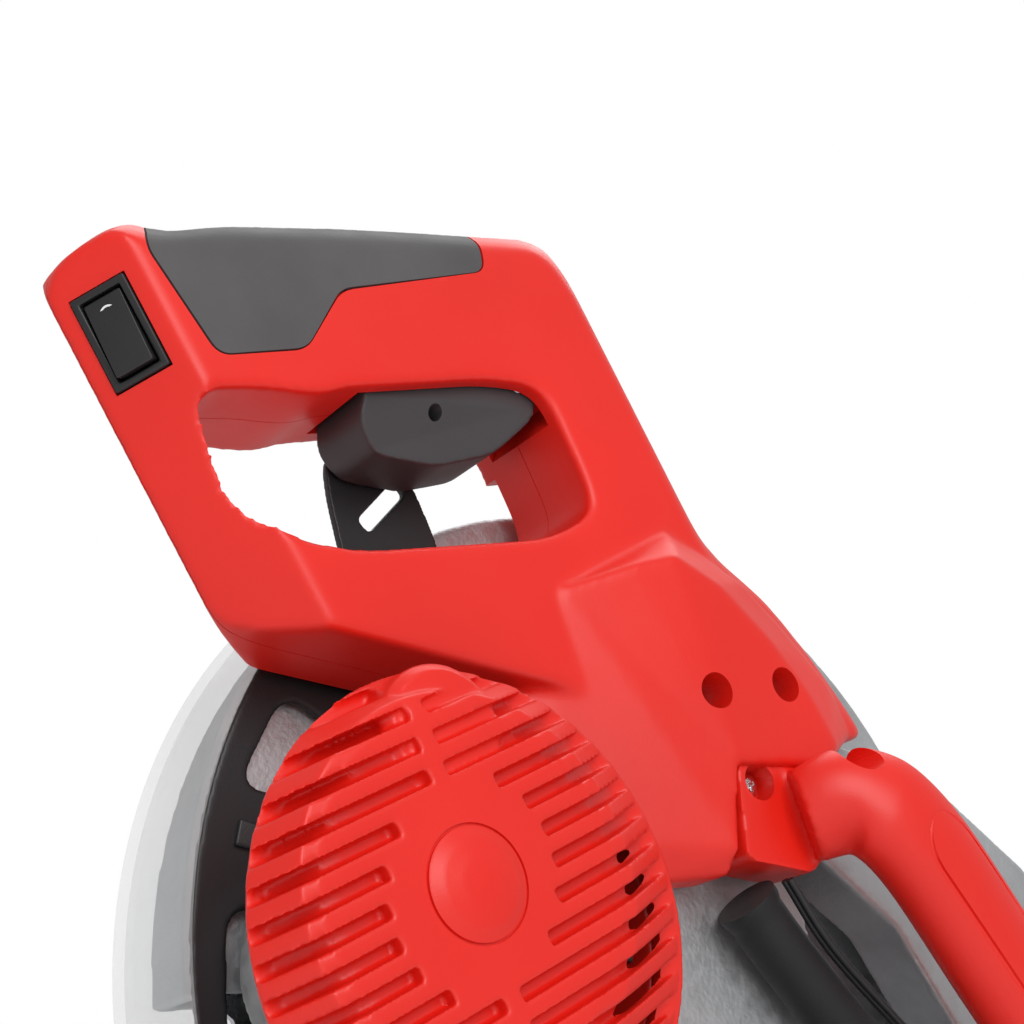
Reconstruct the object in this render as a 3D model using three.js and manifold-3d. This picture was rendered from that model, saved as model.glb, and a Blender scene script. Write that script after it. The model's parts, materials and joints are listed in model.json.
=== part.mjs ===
// Compound mitre saw with a raised, belt-driven cutting head.
// Millimetres. X to the right (motor side), -Y to the operator, +Z up.
// Origin: centre of the underside, on the mitre axis.
import * as THREE from "three";
import { mergeVertices } from "three/addons/utils/BufferGeometryUtils.js";
import Module from "manifold-3d";

const wasm = await Module();
wasm.setup();

// ---------- driving dimensions ----------
const GAP = 0.4;                                  // clearance between separate pieces
const TABLE_TOP = 70;                             // height of the cutting table
const TABLE_R = 145;                              // turntable radius
const ARBOR = { y: 18, z: 286 };                  // blade axis, head raised
const MOTOR = { y: -80, z: 271 };                 // motor axis, parallel to the arbor
const PIVOT = { y: 246, z: 193 };                 // chop axis
const BLADE_R = 127.5;                            // 255 mm blade
const BLADE_T = 2.6;
const TEETH = 40;
const SHELL_R = 133;                              // upper guard, outer radius
const SHELL_X = 14;                               // upper guard, half width
const GUARD_R = 140;                              // lower guard, outer radius
const GUARD_X = 20;                               // lower guard, half width
const GRIP_X = 36;                                // mid-plane of the handle
const GRIP_HALF = 20;                             // half width of the handle
const BELT_X = [21.4, 40];                        // belt housing, left and right faces
const MOTOR_R = { inner: 34, outer: 53 };         // motor housing radius at its belt end and cap end
const CAP_R = 56.5;                               // motor end cap, rim radius
// centre of the cap's face, which leans off the motor axis
const CAP_FACE = { y: -90.5, z: 275.5 };
const CAP_SHOULDER_R = 43;
const CAP_X = [80, 96];                           // motor end cap, rim and face
const PULLEY_R = { motor: 14, arbor: 24 };
const CORD_R = 4;                                 // mains cord radius

// ---------- materials ----------
const material = (color, roughness, metalness = 0) =>
  new THREE.MeshStandardMaterial({ color, roughness, metalness });
const RED = material(0xd92a18, 0.45);
const DARK_RUBBER = material(0x4a4849, 0.75);
const BLACK = material(0x1c1c1e, 0.5);
const CAST = material(0xb4b6b8, 0.55, 0.7);
const STEEL = material(0xc8cacc, 0.3, 1);
const CHROME = material(0xe6e6e8, 0.12, 1);
const DARK_STEEL = material(0x55575a, 0.45, 0.9);
const COPPER = material(0xb5683a, 0.4, 0.8);
const CLEAR = material(0xe9eef0, 0.15);

// ---------- solids from three.js geometry ----------
const solidOf = (geometry) => {
  geometry.deleteAttribute("normal");
  geometry.deleteAttribute("uv");
  const merged = mergeVertices(geometry, 1e-4);
  return new wasm.Manifold(new wasm.Mesh({
    numProp: 3,
    vertProperties: new Float32Array(merged.attributes.position.array),
    triVerts: new Uint32Array(merged.index.array),
  }));
};

const BASIS = {
  x: [[0, 1, 0], [0, 0, 1], [1, 0, 0]],           // outline in Y and Z, thickness along X
  y: [[0, 0, 1], [1, 0, 0], [0, 1, 0]],           // outline in Z and X, thickness along Y
  z: [[1, 0, 0], [0, 1, 0], [0, 0, 1]],           // outline in X and Y, thickness along Z
};

const slab = (axis, shape, from, to, curveSegments = 24) => {
  const geometry = new THREE.ExtrudeGeometry(shape, { depth: to - from, bevelEnabled: false,
    curveSegments });
  geometry.translate(0, 0, from);
  const columns = BASIS[axis].map((v) => new THREE.Vector3(...v));
  geometry.applyMatrix4(new THREE.Matrix4().makeBasis(...columns));
  return solidOf(geometry);
};

const polygon = (points) => new THREE.Shape(points.map(([a, b]) => new THREE.Vector2(a, b)));

const rounded = (points, radius) => {
  const shape = new THREE.Shape();
  const count = points.length;
  points.forEach(([a, b], i) => {
    const here = new THREE.Vector2(a, b);
    const before = new THREE.Vector2(...points[(i + count - 1) % count]);
    const after = new THREE.Vector2(...points[(i + 1) % count]);
    const reachIn = Math.min(radius, here.distanceTo(before) * 0.45);
    const reachOut = Math.min(radius, here.distanceTo(after) * 0.45);
    const start = before.clone().sub(here).setLength(reachIn).add(here);
    const end = after.clone().sub(here).setLength(reachOut).add(here);
    if (i === 0) {
      shape.moveTo(start.x, start.y);
    } else {
      shape.lineTo(start.x, start.y);
    }
    shape.quadraticCurveTo(here.x, here.y, end.x, end.y);
  });
  shape.closePath();
  return shape;
};

const circle = (a, b, r) => {
  const shape = new THREE.Shape();
  shape.absarc(a, b, r, 0, 2 * Math.PI, false);
  return shape;
};

const radians = THREE.MathUtils.degToRad;

const sector = (centre, inner, outer, fromDeg, toDeg) => {
  const shape = new THREE.Shape();
  shape.absarc(centre.y, centre.z, outer, radians(fromDeg), radians(toDeg), false);
  if (inner > 0) {
    shape.absarc(centre.y, centre.z, inner, radians(toDeg), radians(fromDeg), true);
  } else {
    shape.lineTo(centre.y, centre.z);
  }
  shape.closePath();
  return shape;
};

// A round bar along an axis: the two numbers after the axis are its centre on the other two axes.
const bar = (axis, a, b, r, from, to, segments = 12) => slab(axis, circle(a, b, r), from, to, segments / 2);
const barX = (p, r, from, to, segments) => bar("x", p.y, p.z, r, from, to, segments);
const ringX = (p, outer, inner, from, to, segments) =>
  barX(p, outer, from, to, segments).subtract(barX(p, inner, from - 1, to + 1, segments));

const block = (x0, x1, y0, y1, z0, z1) => {
  const geometry = new THREE.BoxGeometry(x1 - x0, y1 - y0, z1 - z0);
  geometry.translate((x0 + x1) / 2, (y0 + y1) / 2, (z0 + z1) / 2);
  return solidOf(geometry);
};

// A turned solid: the profile's points are radius and height, listed from the bottom up round the outside.
const turned = (profile, place, axisDirection, segments = 24) => {
  const points = profile.map(([r, h]) => new THREE.Vector2(r, h));
  if (THREE.ShapeUtils.area(points) < 0) {
    points.reverse();
  }
  const geometry = new THREE.LatheGeometry(points, segments);
  const turn = new THREE.Quaternion().setFromUnitVectors(
    new THREE.Vector3(0, 1, 0), new THREE.Vector3(...axisDirection).normalize());
  geometry.applyQuaternion(turn);
  geometry.translate(...place);
  return solidOf(geometry);
};

const tube = (points, radius, steps, sides = 10) => {
  const path = new THREE.CatmullRomCurve3(points.map((p) => new THREE.Vector3(...p)), false, "centripetal");
  const section = new THREE.Shape();
  for (let i = 0; i < sides; i += 1) {
    const angle = (2 * Math.PI * i) / sides;
    const corner = [radius * Math.cos(angle), radius * Math.sin(angle)];
    if (i === 0) {
      section.moveTo(...corner);
    } else {
      section.lineTo(...corner);
    }
  }
  section.closePath();
  return solidOf(new THREE.ExtrudeGeometry(section, { steps, extrudePath: path, bevelEnabled: false }));
};

const join = (...solids) => solids.reduce((whole, next) => whole.add(next));
const cut = (whole, ...tools) => tools.reduce((rest, tool) => rest.subtract(tool), whole);

// ---------- the assembly ----------
const saw = new THREE.Group();

const piece = (name, solid, look, group = saw) => {
  const { vertProperties, triVerts } = solid.getMesh();
  const geometry = new THREE.BufferGeometry();
  geometry.setAttribute("position", new THREE.BufferAttribute(new Float32Array(vertProperties), 3));
  geometry.setIndex(new THREE.BufferAttribute(new Uint32Array(triVerts), 1));
  geometry.computeVertexNormals();
  const mesh = new THREE.Mesh(geometry, look.clone());
  mesh.name = name;
  group.add(mesh);
  return mesh;
};

// ---------- base and fence ----------
const WING = { x: 240, y0: -10, y1: 44 };
const baseCasting = () => {
  const wings = slab("z", rounded([[-WING.x, WING.y0], [WING.x, WING.y0], [WING.x, WING.y1],
    [-WING.x, WING.y1]], 14), 0, TABLE_TOP);
  const disc = bar("z", 0, 0, 151, 0, 26, 40);
  const wells = [-1, 1].map((side) => block(
    Math.min(side * 172, side * 230), Math.max(side * 172, side * 230), 2, 33, -1, TABLE_TOP - 8));
  const lugs = [-1, 1].flatMap((side) => [WING.y0 + 14, WING.y1 - 14].map((y) =>
    bar("z", side * (WING.x - 8), y, 16, 0, 10)));
  const holes = [-1, 1].flatMap((side) => [WING.y0 + 14, WING.y1 - 14].map((y) =>
    bar("z", side * (WING.x - 2), y, 4.5, -1, TABLE_TOP + 1)));
  return cut(join(wings, disc, ...lugs), bar("z", 0, 0, TABLE_R + 1, 26, TABLE_TOP + 1, 40),
    ...wells, ...holes);
};
piece("base_casting", baseCasting(), CAST);

const FENCE = { y0: 12, y1: 30, top: 128 };
const fenceHalf = (side) => {
  // Low near the blade: the right half clears the lowered motor, the left half the tilted blade.
  const inner = side > 0 ? 50 : 60;
  const lowTo = side > 0 ? 126 : 70;
  const highFrom = side > 0 ? 138 : 124;
  const outline = [[inner, TABLE_TOP + GAP], [225, TABLE_TOP + GAP], [225, 110], [205, FENCE.top],
    [highFrom, FENCE.top], [lowTo, 82], [inner, 82]].map(([x, z]) => [side * x, z]);
  const wall = slab("y", polygon(outline.map(([x, z]) => [z, x])), FENCE.y0, FENCE.y0 + 7);
  const foot = block(Math.min(side * 155, side * 225), Math.max(side * 155, side * 225),
    FENCE.y0, FENCE.y1 + 13, TABLE_TOP + GAP, TABLE_TOP + 8);
  const slot = bar("z", side * 190, 33, 3.4, TABLE_TOP, TABLE_TOP + 9);
  return cut(join(wall, foot), slot);
};
piece("fence_right", fenceHalf(1), CAST);
piece("fence_left", fenceHalf(-1), CAST);

const capScrew = (place, direction, headR, headH, shankR, shankL) => turned(
  [[0, headH], [headR * 0.8, headH], [headR, headH * 0.6], [headR, 0], [shankR, 0], [shankR, -shankL],
    [0, -shankL]], place, direction, 12);
for (const side of [-1, 1]) {
  const name = side > 0 ? "fence_bolt_right" : "fence_bolt_left";
  piece(name, capScrew([side * 190, 33, TABLE_TOP + 8.3], [0, 0, 1], 6, 5, 3, 8), DARK_STEEL);
}

// ---------- turntable ----------
const KERF = { half: 17, front: -128, rear: 122, deep: 4 };
const BEVEL_Z = TABLE_TOP;
const turntable = () => {
  const disc = bar("z", 0, 0, TABLE_R, 26 + GAP, TABLE_TOP, 40);
  const cordBoss = block(-66.4, -40, 128, 150, 36, 56);
  const frontArm = block(-34, 34, -222, -100, 27, 58);
  const rearArm = block(-42, 42, 100, 160, 27, BEVEL_Z);
  const rearDisc = bar("y", BEVEL_Z, 0, 52, 152, 171.6, 24).subtract(block(-60, 60, 150, 173,
    BEVEL_Z + 30, 200));
  const seat = block(-KERF.half - GAP, KERF.half + GAP, KERF.front - GAP, KERF.rear + GAP,
    TABLE_TOP - KERF.deep, TABLE_TOP + 1);
  const trough = block(-9, 9, KERF.front + 8, KERF.rear - 8, TABLE_TOP - 22, TABLE_TOP + 1);
  const rodHole = bar("y", 42, 0, 6.4, -223, -150);
  const pinHole = bar("y", BEVEL_Z, 0, 8.4, 140, 173);
  const latchSlot = block(22, 36, -223, -168, 26, 50);
  return cut(join(disc, frontArm, rearArm, rearDisc, cordBoss), seat, trough, rodHole, pinHole, latchSlot);
};
piece("turntable", turntable(), CAST);

const kerfPlate = cut(block(-KERF.half, KERF.half, KERF.front, KERF.rear,
  TABLE_TOP - KERF.deep + GAP, TABLE_TOP),
  block(-7, 7, KERF.front + 14, KERF.rear - 12, 60, 80));
piece("kerf_plate", kerfPlate, BLACK);

const knobPoints = [];
const KNOB_LOBES = 8;
for (let i = 0; i < KNOB_LOBES * 6; i += 1) {
  const angle = (2 * Math.PI * i) / (KNOB_LOBES * 6);
  const r = 21 + 2.2 * Math.cos(KNOB_LOBES * angle);
  knobPoints.push([42 + r * Math.cos(angle), r * Math.sin(angle)]);
}
const mitreKnob = cut(slab("y", polygon(knobPoints), -262, -230), bar("y", 42, 0, 6.3, -244, -229));
piece("mitre_lock_knob", mitreKnob, BLACK);
piece("mitre_lock_rod", bar("y", 42, 0, 6, -243.6, -152), STEEL);
const detent = join(block(24.4, 32, -240, -172, 36, 42), bar("x", -172, 39, 3.6, 24.4, 32));
piece("detent_lever", detent, DARK_STEEL);
piece("bevel_pivot_pin", bar("y", BEVEL_Z, 0, 8, 142, 215), STEEL);

// ---------- tilting bracket ----------
const EAR_R = 27;
const HUB_X = [-8, 56];                           // pivot barrel of the head
const EARS_X = [-24, 72];
const HOLD_DOWN = { y: 214, z: 140 };
const tiltBracket = () => {
  const disc = bar("y", BEVEL_Z, 0, 52, 172, 190, 24).subtract(block(-60, 60, 171, 191, BEVEL_Z + 34, 200));
  const side = rounded([[190.2, 34], [222, 40], [276, 96], [PIVOT.y + EAR_R, PIVOT.z],
    [PIVOT.y + 14, PIVOT.z + EAR_R], [PIVOT.y - 16, PIVOT.z + EAR_R], [PIVOT.y - EAR_R, PIVOT.z],
    [196, 112], [182, 96], [182, 50]], 14);
  const gap = block(HUB_X[0] - 1, HUB_X[1] + 1, 176, 300, 122, 300);
  const hollow = block(-18, 66, 200, 300, 50, 112);
  const pinHole = bar("x", HOLD_DOWN.y, HOLD_DOWN.z, 5, 50, 80, 8);
  return cut(join(disc, slab("x", side, ...EARS_X, 6)), gap, hollow,
    bar("y", BEVEL_Z, 0, 8.4, 170, 216), barX(PIVOT, 8.4, -30, 80),
    bar("z", 24, 205, 4.4, 100, 130), pinHole);
};
piece("tilt_bracket", tiltBracket(), CAST);
piece("pivot_shaft", barX(PIVOT, 8, EARS_X[0] - 4, EARS_X[1] + 4, 10), STEEL);

const stopBolt = turned([[0, 12], [7, 12], [7, 6], [4, 6], [4, -34], [0, -34]], [24, 205, 143.5],
  [0, 0, 1], 12);
piece("depth_stop_bolt", stopBolt, STEEL);

const bevelLever = join(bar("y", BEVEL_Z, 0, 15, 216, 230), tube([[8, 223, 74], [30, 228, 84],
  [46, 252, 90], [50, 292, 92]], 6, 8, 8));
piece("bevel_lock_lever", cut(bevelLever, bar("y", BEVEL_Z, 0, 8.4, 215, 231)), BLACK);

// ---------- head casting ----------
const headCasting = () => {
  const shell = cut(barX(ARBOR, SHELL_R, -SHELL_X, SHELL_X, 72),
    slab("x", sector(ARBOR, 0, 200, 190, 325), -30, 30), barX(ARBOR, 44, -30, 0));
  const boss = barX(ARBOR, 40, SHELL_X - 3, BELT_X[0] - GAP);
  const arm = slab("x", polygon([[128, 336], [150, 320], [205, 246], [PIVOT.y - 6, PIVOT.z + 24],
    [PIVOT.y, PIVOT.z - 24], [196, 178], [140, 205], [133, 232], [147, 286]]), -8, 26);
  const barrel = barX(PIVOT, 25, ...HUB_X);
  const bracket = slab("x", polygon([[30, 348], [55, 366], [70, 352], [110, 348], [150, 326], [205, 246],
    [180, 226], [120, 262], [90, 300], [44, 326]]), 24, 44);
  const bore = barX(PIVOT, 8.4, -30, 80);
  const bearingSeat = barX(ARBOR, 16.3, -1, 60);
  const springPocket = ringX(PIVOT, 19, 9, HUB_X[1] - 22, HUB_X[1] + 1, 12);
  const chamber = barX(ARBOR, SHELL_R - 3, 3 - SHELL_X, SHELL_X - 3, 72);
  return cut(join(shell, boss, arm, barrel, bracket), bore, bearingSeat, springPocket, chamber);
};
piece("head_casting", headCasting(), CAST);

// Return spring around the pivot shaft, in the barrel's pocket.
const springPoints = [];
for (let i = 0; i <= 48; i += 1) {
  const angle = (2 * Math.PI * i) / 12;
  springPoints.push([HUB_X[1] - 19 + i * 0.33, PIVOT.y + 14 * Math.cos(angle),
    PIVOT.z + 14 * Math.sin(angle)]);
}
piece("return_spring", tube(springPoints, 1.3, 48, 6), STEEL);

// ---------- drive: motor, belt and arbor ----------
const beltOutline = (grow) => {
  const shape = new THREE.Shape();
  const tilt = Math.atan2(MOTOR.z - ARBOR.z, MOTOR.y - ARBOR.y);
  const span = Math.hypot(MOTOR.z - ARBOR.z, MOTOR.y - ARBOR.y);
  const lean = Math.acos((PULLEY_R.arbor - PULLEY_R.motor) / span);
  shape.absarc(MOTOR.y, MOTOR.z, PULLEY_R.motor + grow, tilt - lean, tilt + lean, false);
  shape.absarc(ARBOR.y, ARBOR.z, PULLEY_R.arbor + grow, tilt + lean, tilt - lean + 2 * Math.PI, false);
  shape.closePath();
  return shape;
};
const beltHousing = cut(slab("x", beltOutline(14), BELT_X[0], BELT_X[1], 10),
  slab("x", beltOutline(11), BELT_X[0] + 3, 60, 10),
  barX(ARBOR, 14, 0, 60));
piece("belt_housing", beltHousing, CAST);
piece("belt_cover", cut(slab("x", beltOutline(14), BELT_X[1] + GAP, BELT_X[1] + 3.2, 10),
  barX(MOTOR, 9, 30, 60)), CAST);
piece("drive_belt", cut(slab("x", beltOutline(3), 26, 36, 9), slab("x", beltOutline(0.8),
  25, 37, 9)), BLACK);
piece("arbor_pulley", cut(barX(ARBOR, PULLEY_R.arbor, 26, 36, 16), barX(ARBOR, 8.3, 20, 40)), STEEL);
piece("motor_pulley", cut(barX(MOTOR, PULLEY_R.motor, 26, 36, 12), barX(MOTOR, 5.3, 20, 40)), STEEL);

const arborShaft = join(barX(ARBOR, 8, -9, 37.5), barX(ARBOR, 12, 4.4, 11.6));
piece("arbor_shaft", arborShaft, STEEL);
piece("arbor_bearing", ringX(ARBOR, 16, 8.3, 12.2, 20.6, 12), CHROME);
piece("inner_flange", ringX(ARBOR, 24, 8.3, 1.7, 4.1, 14), STEEL);
piece("outer_flange", cut(barX(ARBOR, 24, -6.2, -1.7, 14), barX(ARBOR, 8.3, -7, 0)), STEEL);
piece("arbor_bolt", cut(slab("x", circle(ARBOR.y, ARBOR.z, 12), -17, -9.3, 3),
  barX(ARBOR, 4, -18, -12, 3)), DARK_STEEL);

const bladeOutline = new THREE.Shape();
for (let i = 0; i < TEETH; i += 1) {
  const step = (2 * Math.PI) / TEETH;
  const tooth = [[0, BLADE_R], [0.16, BLADE_R - 1.5], [0.42, BLADE_R - 6], [0.8, BLADE_R - 7.5],
    [0.96, BLADE_R - 5]];
  tooth.forEach(([part, r], k) => {
    const angle = step * (i + part);
    const corner = [ARBOR.y + r * Math.cos(angle), ARBOR.z + r * Math.sin(angle)];
    if (i === 0 && k === 0) {
      bladeOutline.moveTo(...corner);
    } else {
      bladeOutline.lineTo(...corner);
    }
  });
}
bladeOutline.closePath();
piece("blade", cut(slab("x", bladeOutline, -BLADE_T / 2, BLADE_T / 2), barX(ARBOR, 8.3, -5, 5)), STEEL);

// The motor: housing, end cap, stator, armature, fan and bearings.
const HOUSING_X = [43.8, CAP_X[0] - GAP];
// brush caps: place along the motor and height off its axis
const BRUSH = { x: 64, z: 47 };
const motorHousing = cut(
  turned([[0, HOUSING_X[0]], [MOTOR_R.inner, HOUSING_X[0]], [MOTOR_R.outer, HOUSING_X[1]],
    [MOTOR_R.outer - 4, HOUSING_X[1]], [MOTOR_R.inner - 1, 48], [0, 48]], [0, MOTOR.y, MOTOR.z],
    [1, 0, 0], 40),
  barX(MOTOR, 11.4, 40, 60),
  bar("z", BRUSH.x, MOTOR.y, 8.4, MOTOR.z + 30, MOTOR.z + 70),
  bar("z", BRUSH.x, MOTOR.y, 8.4, MOTOR.z - 70, MOTOR.z - 30));
piece("motor_housing", motorHousing, RED);
for (const side of [-1, 1]) {
  const place = [BRUSH.x, MOTOR.y, MOTOR.z + side * BRUSH.z];
  piece(side > 0 ? "brush_cap_upper" : "brush_cap_lower",
    turned([[0, 1], [8, 1], [8, -10], [0, -10]], place, [0, 0, side], 12), BLACK);
}
const SLOTS = [-33, -24, -15, -6, 3, 12, 21, 30];
const SLOT_TILT = radians(31);
const slotCutter = (offset) => {
  const long = new THREE.BoxGeometry(30, 120, 3.6);
  long.translate(CAP_X[1] + 10, 0, offset);
  long.applyMatrix4(new THREE.Matrix4().makeRotationX(SLOT_TILT));
  long.translate(0, CAP_FACE.y, CAP_FACE.z);
  return solidOf(long);
};
// The cap's dome leans: each height along X is shifted towards the centre of its face.
const leaningDome = () => {
  const profile = [[0, CAP_X[1]], [CAP_SHOULDER_R, CAP_X[1]], [CAP_R - 2, CAP_X[0] + 5],
    [CAP_R, CAP_X[0] + 3],
    [CAP_R, CAP_X[0]], [CAP_R - 3, CAP_X[0]], [CAP_R - 5, CAP_X[0] + 3], [CAP_SHOULDER_R - 2, CAP_X[1] - 3],
    [0, CAP_X[1] - 3]].map(([r, h]) => new THREE.Vector2(r, h));
  const geometry = new THREE.LatheGeometry(profile.reverse(), 36);
  geometry.applyQuaternion(new THREE.Quaternion().setFromUnitVectors(
    new THREE.Vector3(0, 1, 0), new THREE.Vector3(1, 0, 0)));
  const depth = CAP_X[1] - CAP_X[0];
  const leanY = (CAP_FACE.y - MOTOR.y) / depth;
  const leanZ = (CAP_FACE.z - MOTOR.z) / depth;
  geometry.applyMatrix4(new THREE.Matrix4().set(
    1, 0, 0, 0,
    leanY, 1, 0, MOTOR.y - leanY * CAP_X[0],
    leanZ, 0, 1, MOTOR.z - leanZ * CAP_X[0],
    0, 0, 0, 1));
  return solidOf(geometry);
};
const motorCap = () => {
  const lobe = slab("x", rounded([[MOTOR.y - 30, MOTOR.z + 40], [MOTOR.y + 2, MOTOR.z + 48],
    [MOTOR.y - 6, MOTOR.z + 60], [MOTOR.y - 22, MOTOR.z + 58]], 4), CAP_X[0], CAP_X[0] + 6, 4);
  const button = turned([[0, CAP_X[1] + 2.5], [8, CAP_X[1] + 1.8], [12.4, CAP_X[1] - 1], [0, CAP_X[1] - 1]],
    [0, CAP_FACE.y, CAP_FACE.z], [1, 0, 0], 24);
  const spine = barX(CAP_FACE, 15, CAP_X[1] - 3, CAP_X[1]);
  const slots = SLOTS.map(slotCutter).map((s) => s.intersect(
    ringX(CAP_FACE, CAP_SHOULDER_R - 2, 15, CAP_X[1] - 9, CAP_X[1] + 9)));
  return join(cut(join(leaningDome(), lobe), ...slots), spine, button);
};
piece("motor_cap", motorCap(), RED);
piece("stator", cut(barX(MOTOR, 34, 54, 76, 20), barX(MOTOR, 23, 50, 78, 14),
  bar("z", BRUSH.x, MOTOR.y, 9, MOTOR.z + 20, MOTOR.z + 60),
  bar("z", BRUSH.x, MOTOR.y, 9, MOTOR.z - 60, MOTOR.z - 20)), DARK_STEEL);
const armature = join(barX(MOTOR, 5, 24.5, 90), barX(MOTOR, 22, 56, 70, 14), barX(MOTOR, 14, 70, 78));
piece("armature", armature, COPPER);
const fan = () => {
  const hub = ringX(MOTOR, 38, 5.3, 80, 82, 16);
  const vane = slab("x", polygon([[MOTOR.y - 1, MOTOR.z + 10], [MOTOR.y + 1, MOTOR.z + 10],
    [MOTOR.y + 5, MOTOR.z + 37], [MOTOR.y + 2, MOTOR.z + 37]]), 81, 88);
  const vanes = [];
  for (let i = 0; i < 8; i += 1) {
    const turnedVane = vane.translate([0, -MOTOR.y, -MOTOR.z]).rotate([i * 45, 0, 0]);
    vanes.push(turnedVane.translate([0, MOTOR.y, MOTOR.z]));
  }
  return join(hub, ...vanes);
};
piece("cooling_fan", fan(), BLACK);
piece("motor_bearing", ringX(MOTOR, 11, 5.3, 44, 51, 12), CHROME);

// ---------- handle ----------
const HANDLE_OUTLINE = [[-182, 423], [-165, 444], [-155, 444], [-140, 452], [-100, 467],
  [-55, 482], [-40, 487],
  [-30, 480], [19, 404], [42, 393], [62, 376], [81, 355], [49, 342], [12, 343], [-60, 343],
    [-118, 343], [-128, 346]];
const HANDLE_OPENING = [[-145, 396], [-140, 386], [-131, 370], [-118, 364], [-100, 365],
  [-42, 384], [-28, 394],
  [-27, 402], [-43, 430], [-60, 427], [-96, 413], [-104, 412], [-112, 406], [-128, 402]];
const GRIP_OUTLINE = [[-163, 428], [-158, 455], [-140, 470], [-70, 495], [-66, 462], [-62, 455],
  [-108, 436],
  [-117, 416], [-141, 406]];
const sideOf = (from, to) => slab("x", rounded(HANDLE_OUTLINE, 10), from, to, 5)
  .subtract(slab("x", rounded(HANDLE_OPENING, 9), from - 1, to + 1, 5));

// Front facets: each half leans back from the parting line.
const FRONT_TOP = new THREE.Vector3(GRIP_X, -182, 423);
const FRONT_FOOT = new THREE.Vector3(GRIP_X, -128, 346);
const EDGE = FRONT_FOOT.clone().sub(FRONT_TOP).normalize();
const facetBasis = (side) => {
  const across = new THREE.Vector3(side * 20, 15, 8);
  across.addScaledVector(EDGE, -across.dot(EDGE)).normalize();
  const out = new THREE.Vector3().crossVectors(across, EDGE).multiplyScalar(-side).normalize();
  if (out.y > 0) {
    out.negate();
  }
  const along = new THREE.Vector3().crossVectors(out, across);
  return new THREE.Matrix4().makeBasis(across, along, out);
};
const onFacet = (side, geometry) => {
  geometry.applyMatrix4(facetBasis(side));
  geometry.translate(FRONT_TOP.x, FRONT_TOP.y, FRONT_TOP.z);
  return solidOf(geometry);
};
const facetCutter = (side) => {
  const geometry = new THREE.BoxGeometry(120, 360, 60);
  geometry.translate(0, 0, 30);
  return onFacet(side, geometry);
};

const TRIGGER_PIVOT = { y: -48, z: 431 };
const TRIGGER_X = [24.2, 50];
const triggerPocket = slab("x", polygon([[-99, 400], [-99, 425], [-70, 437], [-42, 440],
  [-36, 430], [-42, 405]]),
  TRIGGER_X[0] - 0.6, TRIGGER_X[1] + 0.6);
const guardSweep = barX(ARBOR, GUARD_R + 2, 10, GUARD_X + 1.5, 72);
const LEVER_PIVOT = { y: -62, z: 360 };           // guard release lever, inside the handle's lower bar
const LEVER_X = [20.8, 23.4];
const leverSlot = slab("x", polygon([[-100, 392], [-97, 370], [-84, 345.5], [-52, 345.5], [-42, 356],
  [-42, 392]]), LEVER_X[0] - 0.6, LEVER_X[1] + 0.5);
const gripPocket = (margin) => slab("x", polygon(GRIP_OUTLINE),
  GRIP_X - GRIP_HALF - 5, GRIP_X + GRIP_HALF + 5)
  .subtract(slab("x", rounded(HANDLE_OUTLINE.map(([y, z]) => [y, z - margin]), 10),
    GRIP_X - GRIP_HALF + margin,
    GRIP_X + GRIP_HALF - margin, 5));
const castingRelief = slab("x", polygon([[20, 330], [28, 352], [56, 370], [90, 352], [90, 330]]),
  23.6, 44.4);

// Rocker switch on the right front facet.
const SWITCH = { x: 13, along: 22, long: 26, wide: 16 };
const switchBox = (wide, long, from, to) => {
  const geometry = new THREE.BoxGeometry(wide, long, to - from);
  geometry.translate(SWITCH.x, 0, (from + to) / 2);
  const down = EDGE.clone().multiplyScalar(SWITCH.along);
  geometry.applyMatrix4(facetBasis(1));
  geometry.translate(FRONT_TOP.x + down.x, FRONT_TOP.y + down.y, FRONT_TOP.z + down.z);
  return solidOf(geometry);
};
const SCREW_HOLES = [{ y: 6, z: 348 }, { y: 31, z: 355 }];

const handleRight = () => {
  const main = sideOf(GRIP_X + 0.2, GRIP_X + GRIP_HALF);
  const flare = slab("x", polygon([[-36, 372], [12, 343.2], [49, 343], [80, 355.5], [62, 375], [36, 394],
    [14, 402]]), 55, 64);
  const skirt = slab("x", polygon([[-36, 370], [-46, 344], [-34, 302], [10, 300], [12, 344]]), 44.4, 54);
  return cut(join(main, flare, skirt), facetCutter(1), gripPocket(2.6), triggerPocket, castingRelief,
    switchBox(SWITCH.wide, SWITCH.long, -16, 3), ...SCREW_HOLES.map((p) => barX(p, 5, 52, 80, 8)));
};
const handleLeft = () => cut(sideOf(GRIP_X - GRIP_HALF, GRIP_X - 0.2), facetCutter(-1), gripPocket(2.6),
  triggerPocket, castingRelief, guardSweep, leverSlot, switchBox(SWITCH.wide, SWITCH.long, -16, 3),
  barX(LEVER_PIVOT, 3.1, 20, 35, 8));
piece("handle_shell_right", handleRight(), RED);
piece("handle_shell_left", handleLeft(), RED);
SCREW_HOLES.forEach((p, i) => {
  piece(`shell_screw_${i + 1}`, turned([[0, 3], [3, 3], [4.4, 1.5], [4.4, 0], [0, 0]],
    [52.4, p.y, p.z], [1, 0, 0], 12),
    STEEL);
});
const rubberGrip = gripPocket(2.2).intersect(slab("x", rounded(HANDLE_OUTLINE.map(([y, z]) => [y,
  z + 0.3]), 10),
  GRIP_X - GRIP_HALF - 0.4, GRIP_X + GRIP_HALF + 0.4, 5));
piece("rubber_grip", cut(rubberGrip, facetCutter(1), facetCutter(-1)), DARK_RUBBER);

const switchBezel = cut(switchBox(SWITCH.wide - 0.8, SWITCH.long - 0.8, -12, 0.8),
  switchBox(11.4, 21.4, -9, 2));
piece("switch_bezel", switchBezel, BLACK);
piece("rocker_button", switchBox(10.6, 20.4, -6, 1.6), BLACK);

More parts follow.
